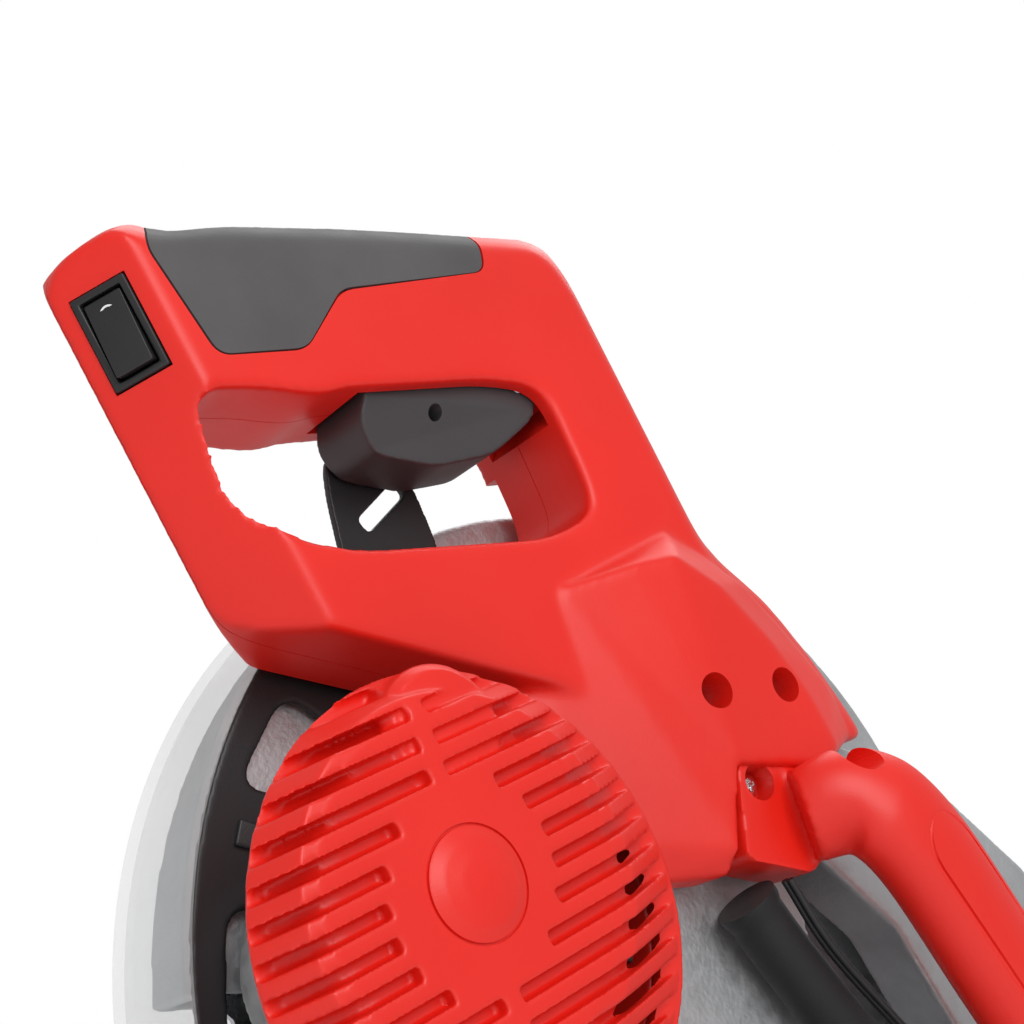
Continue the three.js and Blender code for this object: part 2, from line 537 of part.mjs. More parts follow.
const trigger = cut(slab("x", rounded([[-95, 418], [-94, 408], [-88, 401], [-70, 404], [-53, 412],
  [-42, 425],
  [-42, 435], [-54, 435]], 5), ...TRIGGER_X, 5), bar("x", -74, 415, 2.2, 0, 80, 8),
barX(TRIGGER_PIVOT, 2.3, 0, 80, 8));
piece("trigger", trigger, DARK_RUBBER);
piece("trigger_pin", barX(TRIGGER_PIVOT, 2, 23.8, 50.4, 8), STEEL);

// ---------- carry handle, sleeve and lead ----------
const CARRY_X = 80;
const carryPath = [[66, 34, 318], [76, 46, 322], [CARRY_X, 62, 312], [CARRY_X, 92, 280],
  [CARRY_X, 130, 240],
  [76, 158, 216], [60, 170, 210], [45, 171, 210]];
const carrySection = (r) => tube(carryPath, r, 26, 12);
const carryHandle = () => {
  const plate = slab("x", rounded([[12.8, 341.8], [48, 341.8], [52, 330], [40, 304], [15, 304]],
    4), 46.6, 64, 5);
  const counterbores = [[21, 326], [42, 333]].map(([y, z]) => join(
    bar("x", y, z, 4.8, 57, 90, 8), bar("x", y, z, 2.4, 40, 58, 8)));
  return cut(join(plate, carrySection(14)), ...counterbores);
};
piece("carry_handle", cut(carryHandle(), block(0, 45, 100, 260, 150, 260)), RED);
[[21, 326], [42, 333]].forEach(([y, z], i) => {
  piece(`carry_screw_${i + 1}`, capScrew([57.4, y, z], [1, 0, 0], 4, 2.6, 2, 10), CHROME);
});
const sleevePath = [[52.5, 24, 296.5], [52.5, 40, 281], [53, 62, 262], [53, 95, 244], [53, 130, 242],
  [54, 168, 246], [54, 200, 246], [45, 222, 238], [36, 231, 227], [36, 233.2, 215.2]];
piece("cable_sleeve", tube(sleevePath, 8.2, 24, 12), BLACK);
const leadPath = [[61.5, 31, 301.5], [61, 45, 286], [58.5, 68, 271], [53, 92, 260], [47.5, 102, 258.5]];
piece("laser_lead", tube(leadPath, 1.9, 16, 8), BLACK);

// ---------- lower guard and its link ----------
const GUARD_SPAN = [135, 300];
const guardHub = ringX(ARBOR, 56, 44.5, SHELL_X + 1.4, GUARD_X - 2, 20);
const rightPlate = () => {
  const face = slab("x", sector(ARBOR, 44.5, GUARD_R - 3, ...GUARD_SPAN), SHELL_X + 2, GUARD_X - 2, 20);
  const windows = [[152, 168], [178, 196], [206, 224], [234, 252], [262, 280]].map(([from, to]) =>
    slab("x", rounded([
      [ARBOR.y + 128 * Math.cos(radians(from + 3)), ARBOR.z + 128 * Math.sin(radians(from + 3))],
      [ARBOR.y + 130 * Math.cos(radians(to)), ARBOR.z + 130 * Math.sin(radians(to))],
      [ARBOR.y + 96 * Math.cos(radians(to - 5)), ARBOR.z + 96 * Math.sin(radians(to - 5))],
      [ARBOR.y + 106 * Math.cos(radians(from + 3)), ARBOR.z + 106 * Math.sin(radians(from + 3))],
    ], 8), 0, 40, 4));
  return cut(join(face, guardHub), ...windows);
};
piece("lower_guard_plate", rightPlate(), BLACK);
const guardShell = () => {
  const rim = cut(barX(ARBOR, GUARD_R, -GUARD_X, GUARD_X, 36), barX(ARBOR, GUARD_R - 2.4, -50, 50, 36));
  const leftWall = ringX(ARBOR, GUARD_R - 1, 60, -GUARD_X, 2 - GUARD_X, 36);
  return join(rim, leftWall).intersect(slab("x", sector(ARBOR, 0, 200, ...GUARD_SPAN), -40, 40, 20));
};
piece("lower_guard_clear", guardShell(), CLEAR);
const releaseLever = () => {
  const outline = rounded([[-93, 408], [-91, 396], [-86, 380], [-74, 352], [-60, 348.5],
    [-50, 358], [-52, 376],
    [-57, 392], [-66, 408]], 5);
  const slot = slab("x", rounded([[-82, 391], [-71, 406], [-67, 403], [-78, 388]], 2), 15, 30, 4);
  return cut(slab("x", outline, ...LEVER_X, 4), slot, bar("x", -83, 404, 1.8, 10, 30, 8),
    barX(LEVER_PIVOT, 3.2, 10, 30, 12));
};
piece("guard_release_lever", releaseLever(), BLACK);
piece("guard_lever_pin", barX(LEVER_PIVOT, 2.8, 20.8, 34, 12), STEEL);

// Hold-down pin and dust outlet.
piece("hold_down_pin", join(bar("x", HOLD_DOWN.y, HOLD_DOWN.z, 4.5, 58, 92, 8),
  bar("x", HOLD_DOWN.y, HOLD_DOWN.z, 9, 92, 100, 10)), BLACK);
const OUTLET = [-14.4, 113, 294];                 // on the upper guard's left wall
piece("dust_outlet", cut(turned([[0, 0], [20, 0], [18, 30], [0, 30]], OUTLET, [-1, 0, 0], 16),
  turned([[0, -1], [17, -1], [15, 32], [0, 32]], OUTLET, [-1, 0, 0], 16)), BLACK);

// ---------- mains cord ----------
const COIL = { x: 20, y: 350, inner: 36, outer: 52, top: 24 };
const relief = turned([[0, 0], [8, 0], [8, 4], [5.5, 30], [0, 30]], [-58, 150.4, 46], [0, 1, 0], 12);
piece("strain_relief", relief, BLACK);
const CORD_PATH = [[-58, 180.8, 46], [-58.5, 200, 45.5], [-60.5, 220, 37.5], [-62, 235, 24],
  [-63, 248, 11.5],
  [-62.4, 261, 5.6], [-58.3, 274, 4.8], [-53, 281.5, 4.8], [-45.5, 288.1, 4.8], [-38, 294.8, 4.8],
  [-32.7, 302.4, 4.8], [-29.2, 311.5, 4.8], [-28, 321.4, 4.8]];
piece("mains_cord", tube(CORD_PATH, CORD_R, 60, 8), BLACK);
const coilRing = turned([[COIL.inner, 0.2], [COIL.outer, 0.2], [COIL.outer, COIL.top],
  [COIL.inner, COIL.top],
  [COIL.inner, 0.2]], [COIL.x, COIL.y, 0], [0, 0, 1], 28);
piece("cord_coil", coilRing, BLACK);
// The plug lies beside the coil; the last stretch of cord, from the coil into it, is part of its solid.
const PLUG = { x: 83, y0: 267, y1: 305, half: 18, z: 13 };
const LEAD_IN = [[PLUG.x, PLUG.y1 - 1, PLUG.z], [PLUG.x, 326, PLUG.z], [81.6, 335, 14], [77.5, 345.5, 16.5]];
const plugPin = (side) => bar("y", PLUG.z, PLUG.x + side * 9.5, 2.4, PLUG.y0 - 19, PLUG.y0 + 1, 6);
const plug = join(block(PLUG.x - PLUG.half, PLUG.x + PLUG.half, PLUG.y0, PLUG.y1, 0.2, 26),
  tube(LEAD_IN, CORD_R, 10, 8), plugPin(-1), plugPin(1));
piece("mains_plug", plug, BLACK);

export default saw;
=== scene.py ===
"""Looks of a compound mitre saw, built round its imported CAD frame. Metres, in the frame's own axes:
X to the motor side, -Y to the operator, +Z up, origin under the centre of the table."""

import json
import math

import bmesh
import bpy
from mathutils import Matrix, Vector


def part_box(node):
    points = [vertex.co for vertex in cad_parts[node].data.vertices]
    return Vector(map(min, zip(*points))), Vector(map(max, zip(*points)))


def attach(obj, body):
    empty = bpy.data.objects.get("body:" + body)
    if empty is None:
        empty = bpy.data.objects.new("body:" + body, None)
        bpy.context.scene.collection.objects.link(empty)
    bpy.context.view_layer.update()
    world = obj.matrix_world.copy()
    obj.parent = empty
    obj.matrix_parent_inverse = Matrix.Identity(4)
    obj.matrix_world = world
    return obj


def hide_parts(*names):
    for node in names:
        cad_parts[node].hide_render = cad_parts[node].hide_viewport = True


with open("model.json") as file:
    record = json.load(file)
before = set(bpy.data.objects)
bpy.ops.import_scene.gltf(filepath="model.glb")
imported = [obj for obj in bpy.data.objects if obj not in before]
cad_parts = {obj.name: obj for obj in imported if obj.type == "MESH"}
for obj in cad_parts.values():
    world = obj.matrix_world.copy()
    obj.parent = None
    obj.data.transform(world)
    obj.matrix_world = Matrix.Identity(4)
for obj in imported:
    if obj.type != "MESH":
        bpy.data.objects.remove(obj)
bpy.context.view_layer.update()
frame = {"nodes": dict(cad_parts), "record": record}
MM = 0.001


# ---------- frame measures ----------
def centre_of(node):
    low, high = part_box(node)
    return (low + high) / 2


ARBOR = centre_of("blade")
MOTOR = centre_of("motor_pulley")
GRIP_X = (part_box("handle_shell_left")[1].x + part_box("handle_shell_right")[0].x) / 2


# ---------- camera ----------
VIEW_AZIMUTH = math.radians(55)
VIEW_ELEVATION = math.radians(-26)
VIEW_TARGET = Vector((GRIP_X, -0.040, 0.400))
VIEW_DISTANCE = 0.5012
LENS = 63.28
SENSOR = 36


def make_camera():
    camera = bpy.data.objects.new("camera", bpy.data.cameras.new("camera"))
    bpy.context.scene.collection.objects.link(camera)
    back = Vector((
        math.sin(VIEW_AZIMUTH) * math.cos(VIEW_ELEVATION),
        -math.cos(VIEW_AZIMUTH) * math.cos(VIEW_ELEVATION),
        math.sin(VIEW_ELEVATION),
    ))
    camera.location = VIEW_TARGET + back * VIEW_DISTANCE
    camera.rotation_mode = "QUATERNION"
    camera.rotation_quaternion = (-back).to_track_quat("-Z", "Y")
    camera.data.lens = LENS
    camera.data.sensor_width = SENSOR
    camera.data.clip_start = 0.01
    camera.data.clip_end = 50
    bpy.context.scene.camera = camera


# ---------- materials ----------
class Nodes:
    """A material's node tree: add() makes a node, sets its sockets and links what is passed as a socket."""

    def __init__(self, name):
        self.material = bpy.data.materials.new(name)
        self.material.use_nodes = True
        self.tree = self.material.node_tree
        self.tree.nodes.clear()
        self.place = self.add("ShaderNodeTexCoord").outputs["Object"]

    def add(self, kind, settings=None, **sockets):
        node = self.tree.nodes.new(kind)
        for key, value in (settings or {}).items():
            setattr(node, key, value)
        for key, value in sockets.items():
            self.put(node, key.replace("_", " "), value)
        return node

    def put(self, node, key, value):
        socket = node.inputs[int(key)] if key.isdigit() else node.inputs[key]
        if isinstance(value, bpy.types.NodeSocket):
            self.tree.links.new(value, socket)
        else:
            socket.default_value = value

    def noise(self, scale, detail=3.0, place=None, roughness=0.5):
        node = self.add("ShaderNodeTexNoise", Scale=scale, Detail=detail, Roughness=roughness)
        self.put(node, "Vector", place or self.place)
        return node.outputs["Fac"]

    def spread(self, value, low, high, start=0.3, end=0.7):
        node = self.add("ShaderNodeMapRange")
        for key, number in (("From Min", start), ("From Max", end), ("To Min", low), ("To Max", high)):
            self.put(node, key, number)
        self.put(node, "Value", value)
        return node.outputs["Result"]

    def math(self, operation, a, b=0.0):
        node = self.add("ShaderNodeMath", {"operation": operation})
        self.put(node, "0", a)
        self.put(node, "1", b)
        return node.outputs[0]

    def mix(self, factor, a, b):
        node = self.add("ShaderNodeMix", {"data_type": "RGBA"})
        self.put(node, "0", factor)
        node_inputs = [s for s in node.inputs if s.type == "RGBA"]
        for socket, value in zip(node_inputs, (a, b)):
            if isinstance(value, bpy.types.NodeSocket):
                self.tree.links.new(value, socket)
            else:
                socket.default_value = (*value[:3], 1.0)
        return [s for s in node.outputs if s.type == "RGBA"][0]

    def bump(self, height, strength, distance, normal=None):
        node = self.add("ShaderNodeBump", Strength=strength, Distance=distance, Height=height)
        if normal is not None:
            self.put(node, "Normal", normal)
        return node.outputs["Normal"]

    def finish(self, **sockets):
        shader = self.add("ShaderNodeBsdfPrincipled")
        for key, value in sockets.items():
            key = key.replace("_", " ")
            if key == "Base Color" and not isinstance(value, bpy.types.NodeSocket):
                value = (*value[:3], 1.0)
            self.put(shader, key, value)
        out = self.add("ShaderNodeOutputMaterial")
        self.tree.links.new(shader.outputs["BSDF"], out.inputs["Surface"])
        return self.material


def linear(red, green, blue):
    """Linear colour from 0-255 display values."""
    channels = (red, green, blue)
    return tuple(((c / 255 + 0.055) / 1.055) ** 2.4 if c > 10 else c / 255 / 12.92 for c in channels)


def shade(colour, amount):
    return tuple(min(1.0, c * amount) for c in colour)


def moulded_plastic(name, colour, roughness, grain=2600.0, bump=0.10, specular=0.5, wear=1.12):
    """Injection-moulded plastic: spark-eroded grain, faint flow patches, rubbed edges."""
    n = Nodes(name)
    patches = n.spread(n.noise(14.0, 2.0), 0.0, 1.0)
    body = n.mix(patches, shade(colour, 0.94), shade(colour, 1.04))
    edge = n.spread(n.add("ShaderNodeNewGeometry").outputs["Pointiness"], 0.0, 0.55, 0.52, 0.60)
    rubbed = n.math("MULTIPLY", edge, n.spread(n.noise(180.0), 0.2, 1.0))
    body = n.mix(rubbed, body, tuple(min(1.0, c * wear + 0.012) for c in colour))
    handled = n.spread(n.noise(38.0, 4.0), roughness - 0.05, roughness + 0.06)
    fine = n.noise(grain, 2.0)
    normal = n.bump(fine, bump, 0.00035)
    normal = n.bump(n.noise(60.0, 2.0), 0.03, 0.0012, normal)
    return n.finish(Base_Color=body, Roughness=handled, Normal=normal, Specular_IOR_Level=specular)


def rubber(name, colour, roughness):
    """Soft overmoulded rubber: close pebbled grain and a dusty bloom."""
    n = Nodes(name)
    bloom = n.spread(n.noise(45.0, 5.0), 0.0, 1.0)
    body = n.mix(bloom, shade(colour, 0.88), shade(colour, 1.14))
    pebble = n.add("ShaderNodeTexVoronoi", {"feature": "SMOOTH_F1"}, Scale=1500.0)
    n.put(pebble, "Vector", n.place)
    normal = n.bump(pebble.outputs["Distance"], 0.16, 0.0003)
    rough = n.spread(n.noise(90.0), roughness - 0.06, roughness + 0.07)
    return n.finish(Base_Color=body, Roughness=rough, Normal=normal, Sheen_Weight=0.08,
                    Specular_IOR_Level=0.35)


def cast_metal(name, colour, roughness):
    """Sand-textured die casting: coarse grain, dull skin, brighter where it has been handled."""
    n = Nodes(name)
    cloud = n.spread(n.noise(30.0, 5.0), 0.0, 1.0)
    body = n.mix(cloud, shade(colour, 0.86), shade(colour, 1.06))
    edge = n.spread(n.add("ShaderNodeNewGeometry").outputs["Pointiness"], 0.0, 0.7, 0.51, 0.58)
    body = n.mix(edge, body, shade(colour, 1.25))
    grain = n.noise(700.0, 4.0)
    normal = n.bump(grain, 0.28, 0.0007)
    rough = n.spread(n.noise(260.0, 3.0), roughness - 0.10, roughness + 0.10)
    return n.finish(Base_Color=body, Metallic=0.85, Roughness=rough, Normal=normal)


def turned_metal(name, colour, roughness, axis_point, rings=2600.0, bump=0.10):
    """Metal turned or ground about the X axis through axis_point: fine circular tool marks."""
    n = Nodes(name)
    shifted = n.add("ShaderNodeVectorMath", {"operation": "SUBTRACT"})
    n.tree.links.new(n.place, shifted.inputs[0])
    shifted.inputs[1].default_value = axis_point
    flat = n.add("ShaderNodeVectorMath", {"operation": "MULTIPLY"})
    n.tree.links.new(shifted.outputs[0], flat.inputs[0])
    flat.inputs[1].default_value = (0.0, 1.0, 1.0)
    length = n.add("ShaderNodeVectorMath", {"operation": "LENGTH"})
    n.tree.links.new(flat.outputs[0], length.inputs[0])
    radius = length.outputs["Value"]
    ring = n.add("ShaderNodeTexNoise", {"noise_dimensions": "1D"}, Scale=rings, Detail=2.0)
    n.put(ring, "W", radius)
    marks = ring.outputs["Fac"]
    body = n.mix(n.spread(marks, 0.0, 1.0), shade(colour, 0.86), shade(colour, 1.05))
    rough = n.spread(n.noise(120.0, 4.0), roughness - 0.06, roughness + 0.10)
    normal = n.bump(marks, bump, 0.0002)
    return n.finish(Base_Color=body, Metallic=1.0, Roughness=rough, Normal=normal)


def plain_metal(name, colour, roughness, marks=900.0, bump=0.06, metallic=1.0):
    """Machined or plated metal with fine scratches and faint staining."""
    n = Nodes(name)
    stain = n.spread(n.noise(70.0, 4.0), 0.0, 1.0)
    body = n.mix(stain, shade(colour, 0.85), shade(colour, 1.05))
    rough = n.spread(n.noise(marks, 3.0), roughness - 0.05, roughness + 0.10)
    normal = n.bump(n.noise(marks * 2, 2.0), bump, 0.0002)
    return n.finish(Base_Color=body, Metallic=metallic, Roughness=rough, Normal=normal)


def clear_plastic(name):
    """Transparent polycarbonate, faintly scuffed."""
    n = Nodes(name)
    scuffs = n.spread(n.noise(300.0, 6.0), 0.06, 0.22)
    body = n.mix(n.spread(n.noise(50.0), 0.0, 1.0), (0.90, 0.92, 0.93), (0.97, 0.98, 0.98))
    normal = n.bump(n.noise(800.0, 2.0), 0.03, 0.0002)
    return n.finish(Base_Color=body, Roughness=scuffs, Normal=normal, Transmission_Weight=0.4,
                    IOR=1.49, Alpha=0.22)


RED_COLOUR = linear(232, 33, 20)
MATERIALS = {
    "red_plastic": moulded_plastic("red_plastic", RED_COLOUR, 0.40),
    "soft_grip": rubber("soft_grip", linear(84, 82, 83), 0.62),
    "trigger_plastic": moulded_plastic("trigger_plastic", linear(62, 60, 62), 0.48, 3000.0, 0.12, wear=1.5),
    "black_plastic": moulded_plastic("black_plastic", linear(30, 30, 32), 0.42, 2200.0, 0.14, wear=1.9),
    "black_rubber": rubber("black_rubber", linear(26, 26, 28), 0.55),
    "cast_aluminium": cast_metal("cast_aluminium", linear(196, 198, 200), 0.52),
    "steel": plain_metal("steel", linear(190, 192, 195), 0.32),
    "blade_steel": turned_metal("blade_steel", linear(205, 207, 210), 0.26, ARBOR),
    "dark_steel": plain_metal("dark_steel", linear(72, 74, 78), 0.42, 500.0),
    "chrome": plain_metal("chrome", linear(225, 226, 228), 0.12, 1400.0, 0.03),
    "copper": turned_metal("copper", linear(176, 96, 52), 0.38, MOTOR, 1400.0, 0.3),
    "clear_plastic": clear_plastic("clear_plastic"),
    "mark_paint": moulded_plastic("mark_paint", linear(235, 235, 235), 0.5, wear=1.0),
}


def paint(obj, slot_name):
    obj.data.materials.clear()
    obj.data.materials.append(MATERIALS[slot_name])


SLOT_OF = {row["node"]: row["material_slot"] for row in frame["record"]["subparts"]}
BODY_OF = {node: body for body, nodes in frame["record"]["behaviour"]["bodies"].items() for node in nodes}


# ---------- mesh tools ----------
def link(name, mesh):
    obj = bpy.data.objects.new(name, mesh)
    bpy.context.scene.collection.objects.link(obj)
    return obj


def from_bmesh(name, bm):
    bmesh.ops.remove_doubles(bm, verts=bm.verts, dist=1e-6)
    bmesh.ops.recalc_face_normals(bm, faces=bm.faces)
    mesh = bpy.data.meshes.new(name)
    bm.to_mesh(mesh)
    bm.free()
    return link(name, mesh)


def node_copy(node, name=None):
    """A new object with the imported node's mesh, its seams merged."""
    bm = bmesh.new()
    bm.from_mesh(frame["nodes"][node].data)
    return from_bmesh(name or node + "_look", bm)


def prism(name, outline, low, high, axis=0):
    """A closed solid: an outline in the two axes after `axis`, from low to high along it."""
    bm = bmesh.new()
    ring = []
    for level in (low, high):
        row = []
        for a, b in outline:
            place = [0.0, 0.0, 0.0]
            place[axis] = level
            place[(axis + 1) % 3] = a
            place[(axis + 2) % 3] = b
            row.append(bm.verts.new(place))
        ring.append(row)
    bm.faces.new(ring[0])
    bm.faces.new(ring[1][::-1])
    count = len(outline)
    for i in range(count):
        k = (i + 1) % count
        bm.faces.new((ring[0][i], ring[0][k], ring[1][k], ring[1][i]))
    return from_bmesh(name, bm)


def hull(name, points):
    bm = bmesh.new()
    for p in points:
        bm.verts.new(p)
    made = bmesh.ops.convex_hull(bm, input=bm.verts)
    loose = [g for g in made["geom_interior"] if isinstance(g, bmesh.types.BMVert)]
    bmesh.ops.delete(bm, geom=loose, context="VERTS")
    return from_bmesh(name, bm)


def lathe(name, profile, centre, axis=(1, 0, 0), segments=64, lean=(0, 0)):
    """Turns (radius, height) points about an axis through centre; a closed profile that stays off the axis
    makes a ring. lean shifts each height sideways, per unit of height."""
    turn = Vector(axis).to_track_quat("Z", "Y").to_matrix()
    if tuple(axis) == (1, 0, 0):
        turn = Matrix(((0, 0, 1), (1, 0, 0), (0, 1, 0)))
    bm = bmesh.new()
    rings = []
    for radius, height in profile:
        if radius < 1e-7:
            rings.append([bm.verts.new(turn @ Vector((0, 0, height)) + Vector(centre)
                                       + Vector((0, lean[0] * height, lean[1] * height)))])
            continue
        ring = []
        for i in range(segments):
            angle = 2 * math.pi * i / segments
            local = Vector((radius * math.cos(angle), radius * math.sin(angle), height))
            shift = Vector((0, lean[0] * height, lean[1] * height))
            ring.append(bm.verts.new(turn @ local + Vector(centre) + shift))
        rings.append(ring)
    closed = profile[0][0] > 1e-7
    pairs = list(zip(rings, rings[1:] + rings[:1])) if closed else list(zip(rings, rings[1:]))
    for a, b in pairs:
        for i in range(segments):
            k = (i + 1) % segments
            if len(a) == 1:
                bm.faces.new((a[0], b[i], b[k]))
            elif len(b) == 1:
                bm.faces.new((a[i], b[0], a[k]))
            else:
                bm.faces.new((a[i], b[i], b[k], a[k]))
    return from_bmesh(name, bm)


def smooth_path(points, per_span=8):
    """Points on a Catmull-Rom curve through the given ones."""
    pts = [Vector(p) for p in points]
    pts = [2 * pts[0] - pts[1]] + pts + [2 * pts[-1] - pts[-2]]
    made = []
    for i in range(1, len(pts) - 2):
        p0, p1, p2, p3 = pts[i - 1:i + 3]
        for step in range(per_span):
            t = step / per_span
            made.append(0.5 * (2 * p1 + (p2 - p0) * t + (2 * p0 - 5 * p1 + 4 * p2 - p3) * t * t
                               + (3 * p1 - p0 - 3 * p2 + p3) * t ** 3))
    made.append(pts[-2])
    return made


def sweep(name, path, section, side=(1, 0, 0)):
    """A closed solid: section points (across, up) carried along the path; across stays near `side`."""
    bm = bmesh.new()
    rings = []
    for i, p in enumerate(path):
        ahead = path[min(i + 1, len(path) - 1)]
        behind = path[max(i - 1, 0)]
        tangent = (ahead - behind).normalized()
        across = Vector(side)
        across = (across - tangent * across.dot(tangent)).normalized()
        up = tangent.cross(across)
        scale = section(i / (len(path) - 1)) if callable(section) else section
        rings.append([bm.verts.new(p + across * a + up * b) for a, b in scale])
    for a, b in zip(rings, rings[1:]):
        for i in range(len(a)):
            k = (i + 1) % len(a)
            bm.faces.new((a[i], a[k], b[k], b[i]))
    bm.faces.new(rings[0][::-1])
    bm.faces.new(rings[-1])
    return from_bmesh(name, bm)


def oval(half_a, half_b, count=24, centre=(0, 0)):
    return [(centre[0] + half_a * math.cos(2 * math.pi * i / count),
             centre[1] + half_b * math.sin(2 * math.pi * i / count)) for i in range(count)]


def rounded(points, radius, steps=6):
    """An outline in millimetres with its corners rounded, in metres."""
    made = []
    count = len(points)
    for i in range(count):
        here = Vector(points[i])
        before = Vector(points[i - 1])
        after = Vector(points[(i + 1) % count])
        start = here + (before - here).normalized() * min(radius, (before - here).length * 0.45)
        end = here + (after - here).normalized() * min(radius, (after - here).length * 0.45)
        for step in range(steps + 1):
            t = step / steps
            made.append(start * (1 - t) ** 2 + here * 2 * t * (1 - t) + end * t * t)
    return [(p.x * MM, p.y * MM) for p in made]


def metres(points):
    return [tuple(c * MM for c in p) for p in points]


def apply_modifiers(obj):
    graph = bpy.context.evaluated_depsgraph_get()
    mesh = bpy.data.meshes.new_from_object(obj.evaluated_get(graph))
    obj.modifiers.clear()
    old = obj.data
    obj.data = mesh
    bpy.data.meshes.remove(old)
    return obj


def drop(obj):
    mesh = obj.data
    bpy.data.objects.remove(obj)
    bpy.data.meshes.remove(mesh)


def merge(name, *objs):
    """One object holding all the shells, which a remesh then makes one."""
    bm = bmesh.new()
    for obj in objs:
        bm.from_mesh(obj.data)
    mesh = bpy.data.meshes.new(name)
    bm.to_mesh(mesh)
    bm.free()
    for obj in objs:
        drop(obj)
    return link(name, mesh)


def boolean(obj, tool, operation="DIFFERENCE", keep=False):
    step = obj.modifiers.new("cut", "BOOLEAN")
    step.operation = operation
    step.solver = "EXACT"
    step.object = tool
    bpy.context.view_layer.update()
    apply_modifiers(obj)
    if not keep:
        drop(tool)
    return obj


def soften(obj, voxel, rounds, factor=0.5):
    """Remeshes the solid evenly and rounds its edges, as a mould or a casting has them."""
    grid = obj.modifiers.new("grid", "REMESH")
    grid.mode = "VOXEL"
    grid.voxel_size = voxel * MM
    grid.use_smooth_shade = True
    if rounds:
        ease = obj.modifiers.new("ease", "SMOOTH")
        ease.factor = factor
        ease.iterations = rounds
    apply_modifiers(obj)
    return obj


def shade_by_angle(obj, degrees=35):
    for face in obj.data.polygons:
        face.use_smooth = True
    obj.data.set_sharp_from_angle(angle=math.radians(degrees))
    return obj


def bevelled(obj, width, segments=3, degrees=30):
    step = obj.modifiers.new("bevel", "BEVEL")
    step.width = width * MM
    step.segments = segments
    step.limit_method = "ANGLE"
    step.angle_limit = math.radians(degrees)
    apply_modifiers(obj)
    return shade_by_angle(obj, degrees + 5)


def show(obj, *nodes, slot=None, body=None):
    """Gives the piece its material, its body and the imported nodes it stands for."""
    slot = slot or SLOT_OF[nodes[0]]
    paint(obj, slot)
    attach(obj, body or BODY_OF[nodes[0]])
    if nodes:
        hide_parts(*nodes)
    return obj


# ---------- mains cord ----------
CORD_ROUTE = [
    (-58, 180.8, 46), (-58.5, 200, 45.5), (-60.5, 220, 37.5), (-62, 235, 24), (-63, 248, 11.5),
    (-62.4, 261, 5.6), (-58.3, 274, 4.8), (-53, 281.5, 4.8), (-45.5, 288.1, 4.8), (-38, 294.8, 4.8),
    (-32.7, 302.4, 4.8), (-29.2, 311.5, 4.8), (-28, 321.4, 4.8), (-28, 335, 4.6)]
COIL_CENTRE = (20, 350)
COIL_TURNS = [(48, 4.4), (40, 4.4), (40, 12.3), (48, 12.3), (40, 20.1), (48, 20.1)]   # radius and height
CORD_TO_PLUG = [(70.5, 358.5, 20.1), (77.5, 345.5, 16.5), (81.6, 335, 14), (83, 326, 13), (83, 315, 13),
                (83, 306, 13)]
CORD_DIAMETER = 7.7
TURN_STEPS = 36
LAST_TURN_ENDS = math.radians(31)
EASE_FROM = 0.78      # part of a turn at which it starts to ease into the next


def coil_points():
    """The coil's turns, clockwise from its left side; each eases into the next over its last fifth."""
    made = []
    last = len(COIL_TURNS) - 1
    for turn, (radius, height) in enumerate(COIL_TURNS):
        next_radius, next_height = COIL_TURNS[min(turn + 1, last)]
        for step in range(TURN_STEPS):
            part = step / TURN_STEPS
            angle = math.pi - 2 * math.pi * part
            if turn == last and angle < LAST_TURN_ENDS:
                break
            ease = max(0.0, (part - EASE_FROM) / (1 - EASE_FROM))
            ease = ease * ease * (3 - 2 * ease)
            r = radius + (next_radius - radius) * ease
            z = height + (next_height - height) * ease
            made.append((COIL_CENTRE[0] + r * math.cos(angle), COIL_CENTRE[1] + r * math.sin(angle), z))
    return made


def make_cord():
    points = metres(CORD_ROUTE + coil_points() + CORD_TO_PLUG)
    curve = bpy.data.curves.new("cord", "CURVE")
    curve.dimensions = "3D"
    curve.bevel_depth = CORD_DIAMETER / 2 * MM
    curve.bevel_resolution = 4
    curve.use_fill_caps = True
    line = curve.splines.new("POLY")
    path = smooth_path(points, 3)
    line.points.add(len(path) - 1)
    for point, place in zip(line.points, path):
        point.co = (*place, 1.0)
    line.use_smooth = True
    cord = bpy.data.objects.new("mains_cord_look", curve)
    bpy.context.scene.collection.objects.link(cord)
    curve.materials.append(MATERIALS["black_rubber"])
    length = sum((b - a).length for a, b in zip(path, path[1:]))
    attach(cord, "turntable")
    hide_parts("mains_cord", "cord_coil")
    return cord, length, path[0]


def make_plug():
    low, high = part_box("mains_plug")
    body_top = 305 * MM
    pins_from = low.y + 19 * MM
    mid = (low.x + high.x) / 2
    height = 13 * MM
    body = prism("plug_body", rounded([(47 + 18, 269), (47 + 54, 269), (47 + 55, 290), (47 + 47, 305),
                                       (47 + 25, 305), (47 + 17, 290)], 5), 0.6 * MM, 25.4 * MM, axis=2)
    relief = lathe("plug_relief", metres([(0, -4), (7.5, -4), (7, 3), (5.2, 20), (4.9, 22), (0, 22)]),
                   (mid, body_top, height), (0, 1, 0), 32)
    plug = soften(merge("mains_plug_look", body, relief), 0.8, 6)
    show(plug, "mains_plug")
    pins = []
    for side in (-1, 1):
        pin = lathe("plug_pin", metres([(0, 0), (1.6, 0), (2.4, 0.8), (2.4, 21), (0, 21)]),
                    (mid + side * 9.5 * MM, pins_from - 19 * MM, height), (0, 1, 0), 24)
        pin.name = "plug_pin_left" if side < 0 else "plug_pin_right"
        shade_by_angle(pin)
        show(pin, slot="chrome", body="turntable")
        pins.append(pin)
    return [plug, *pins]


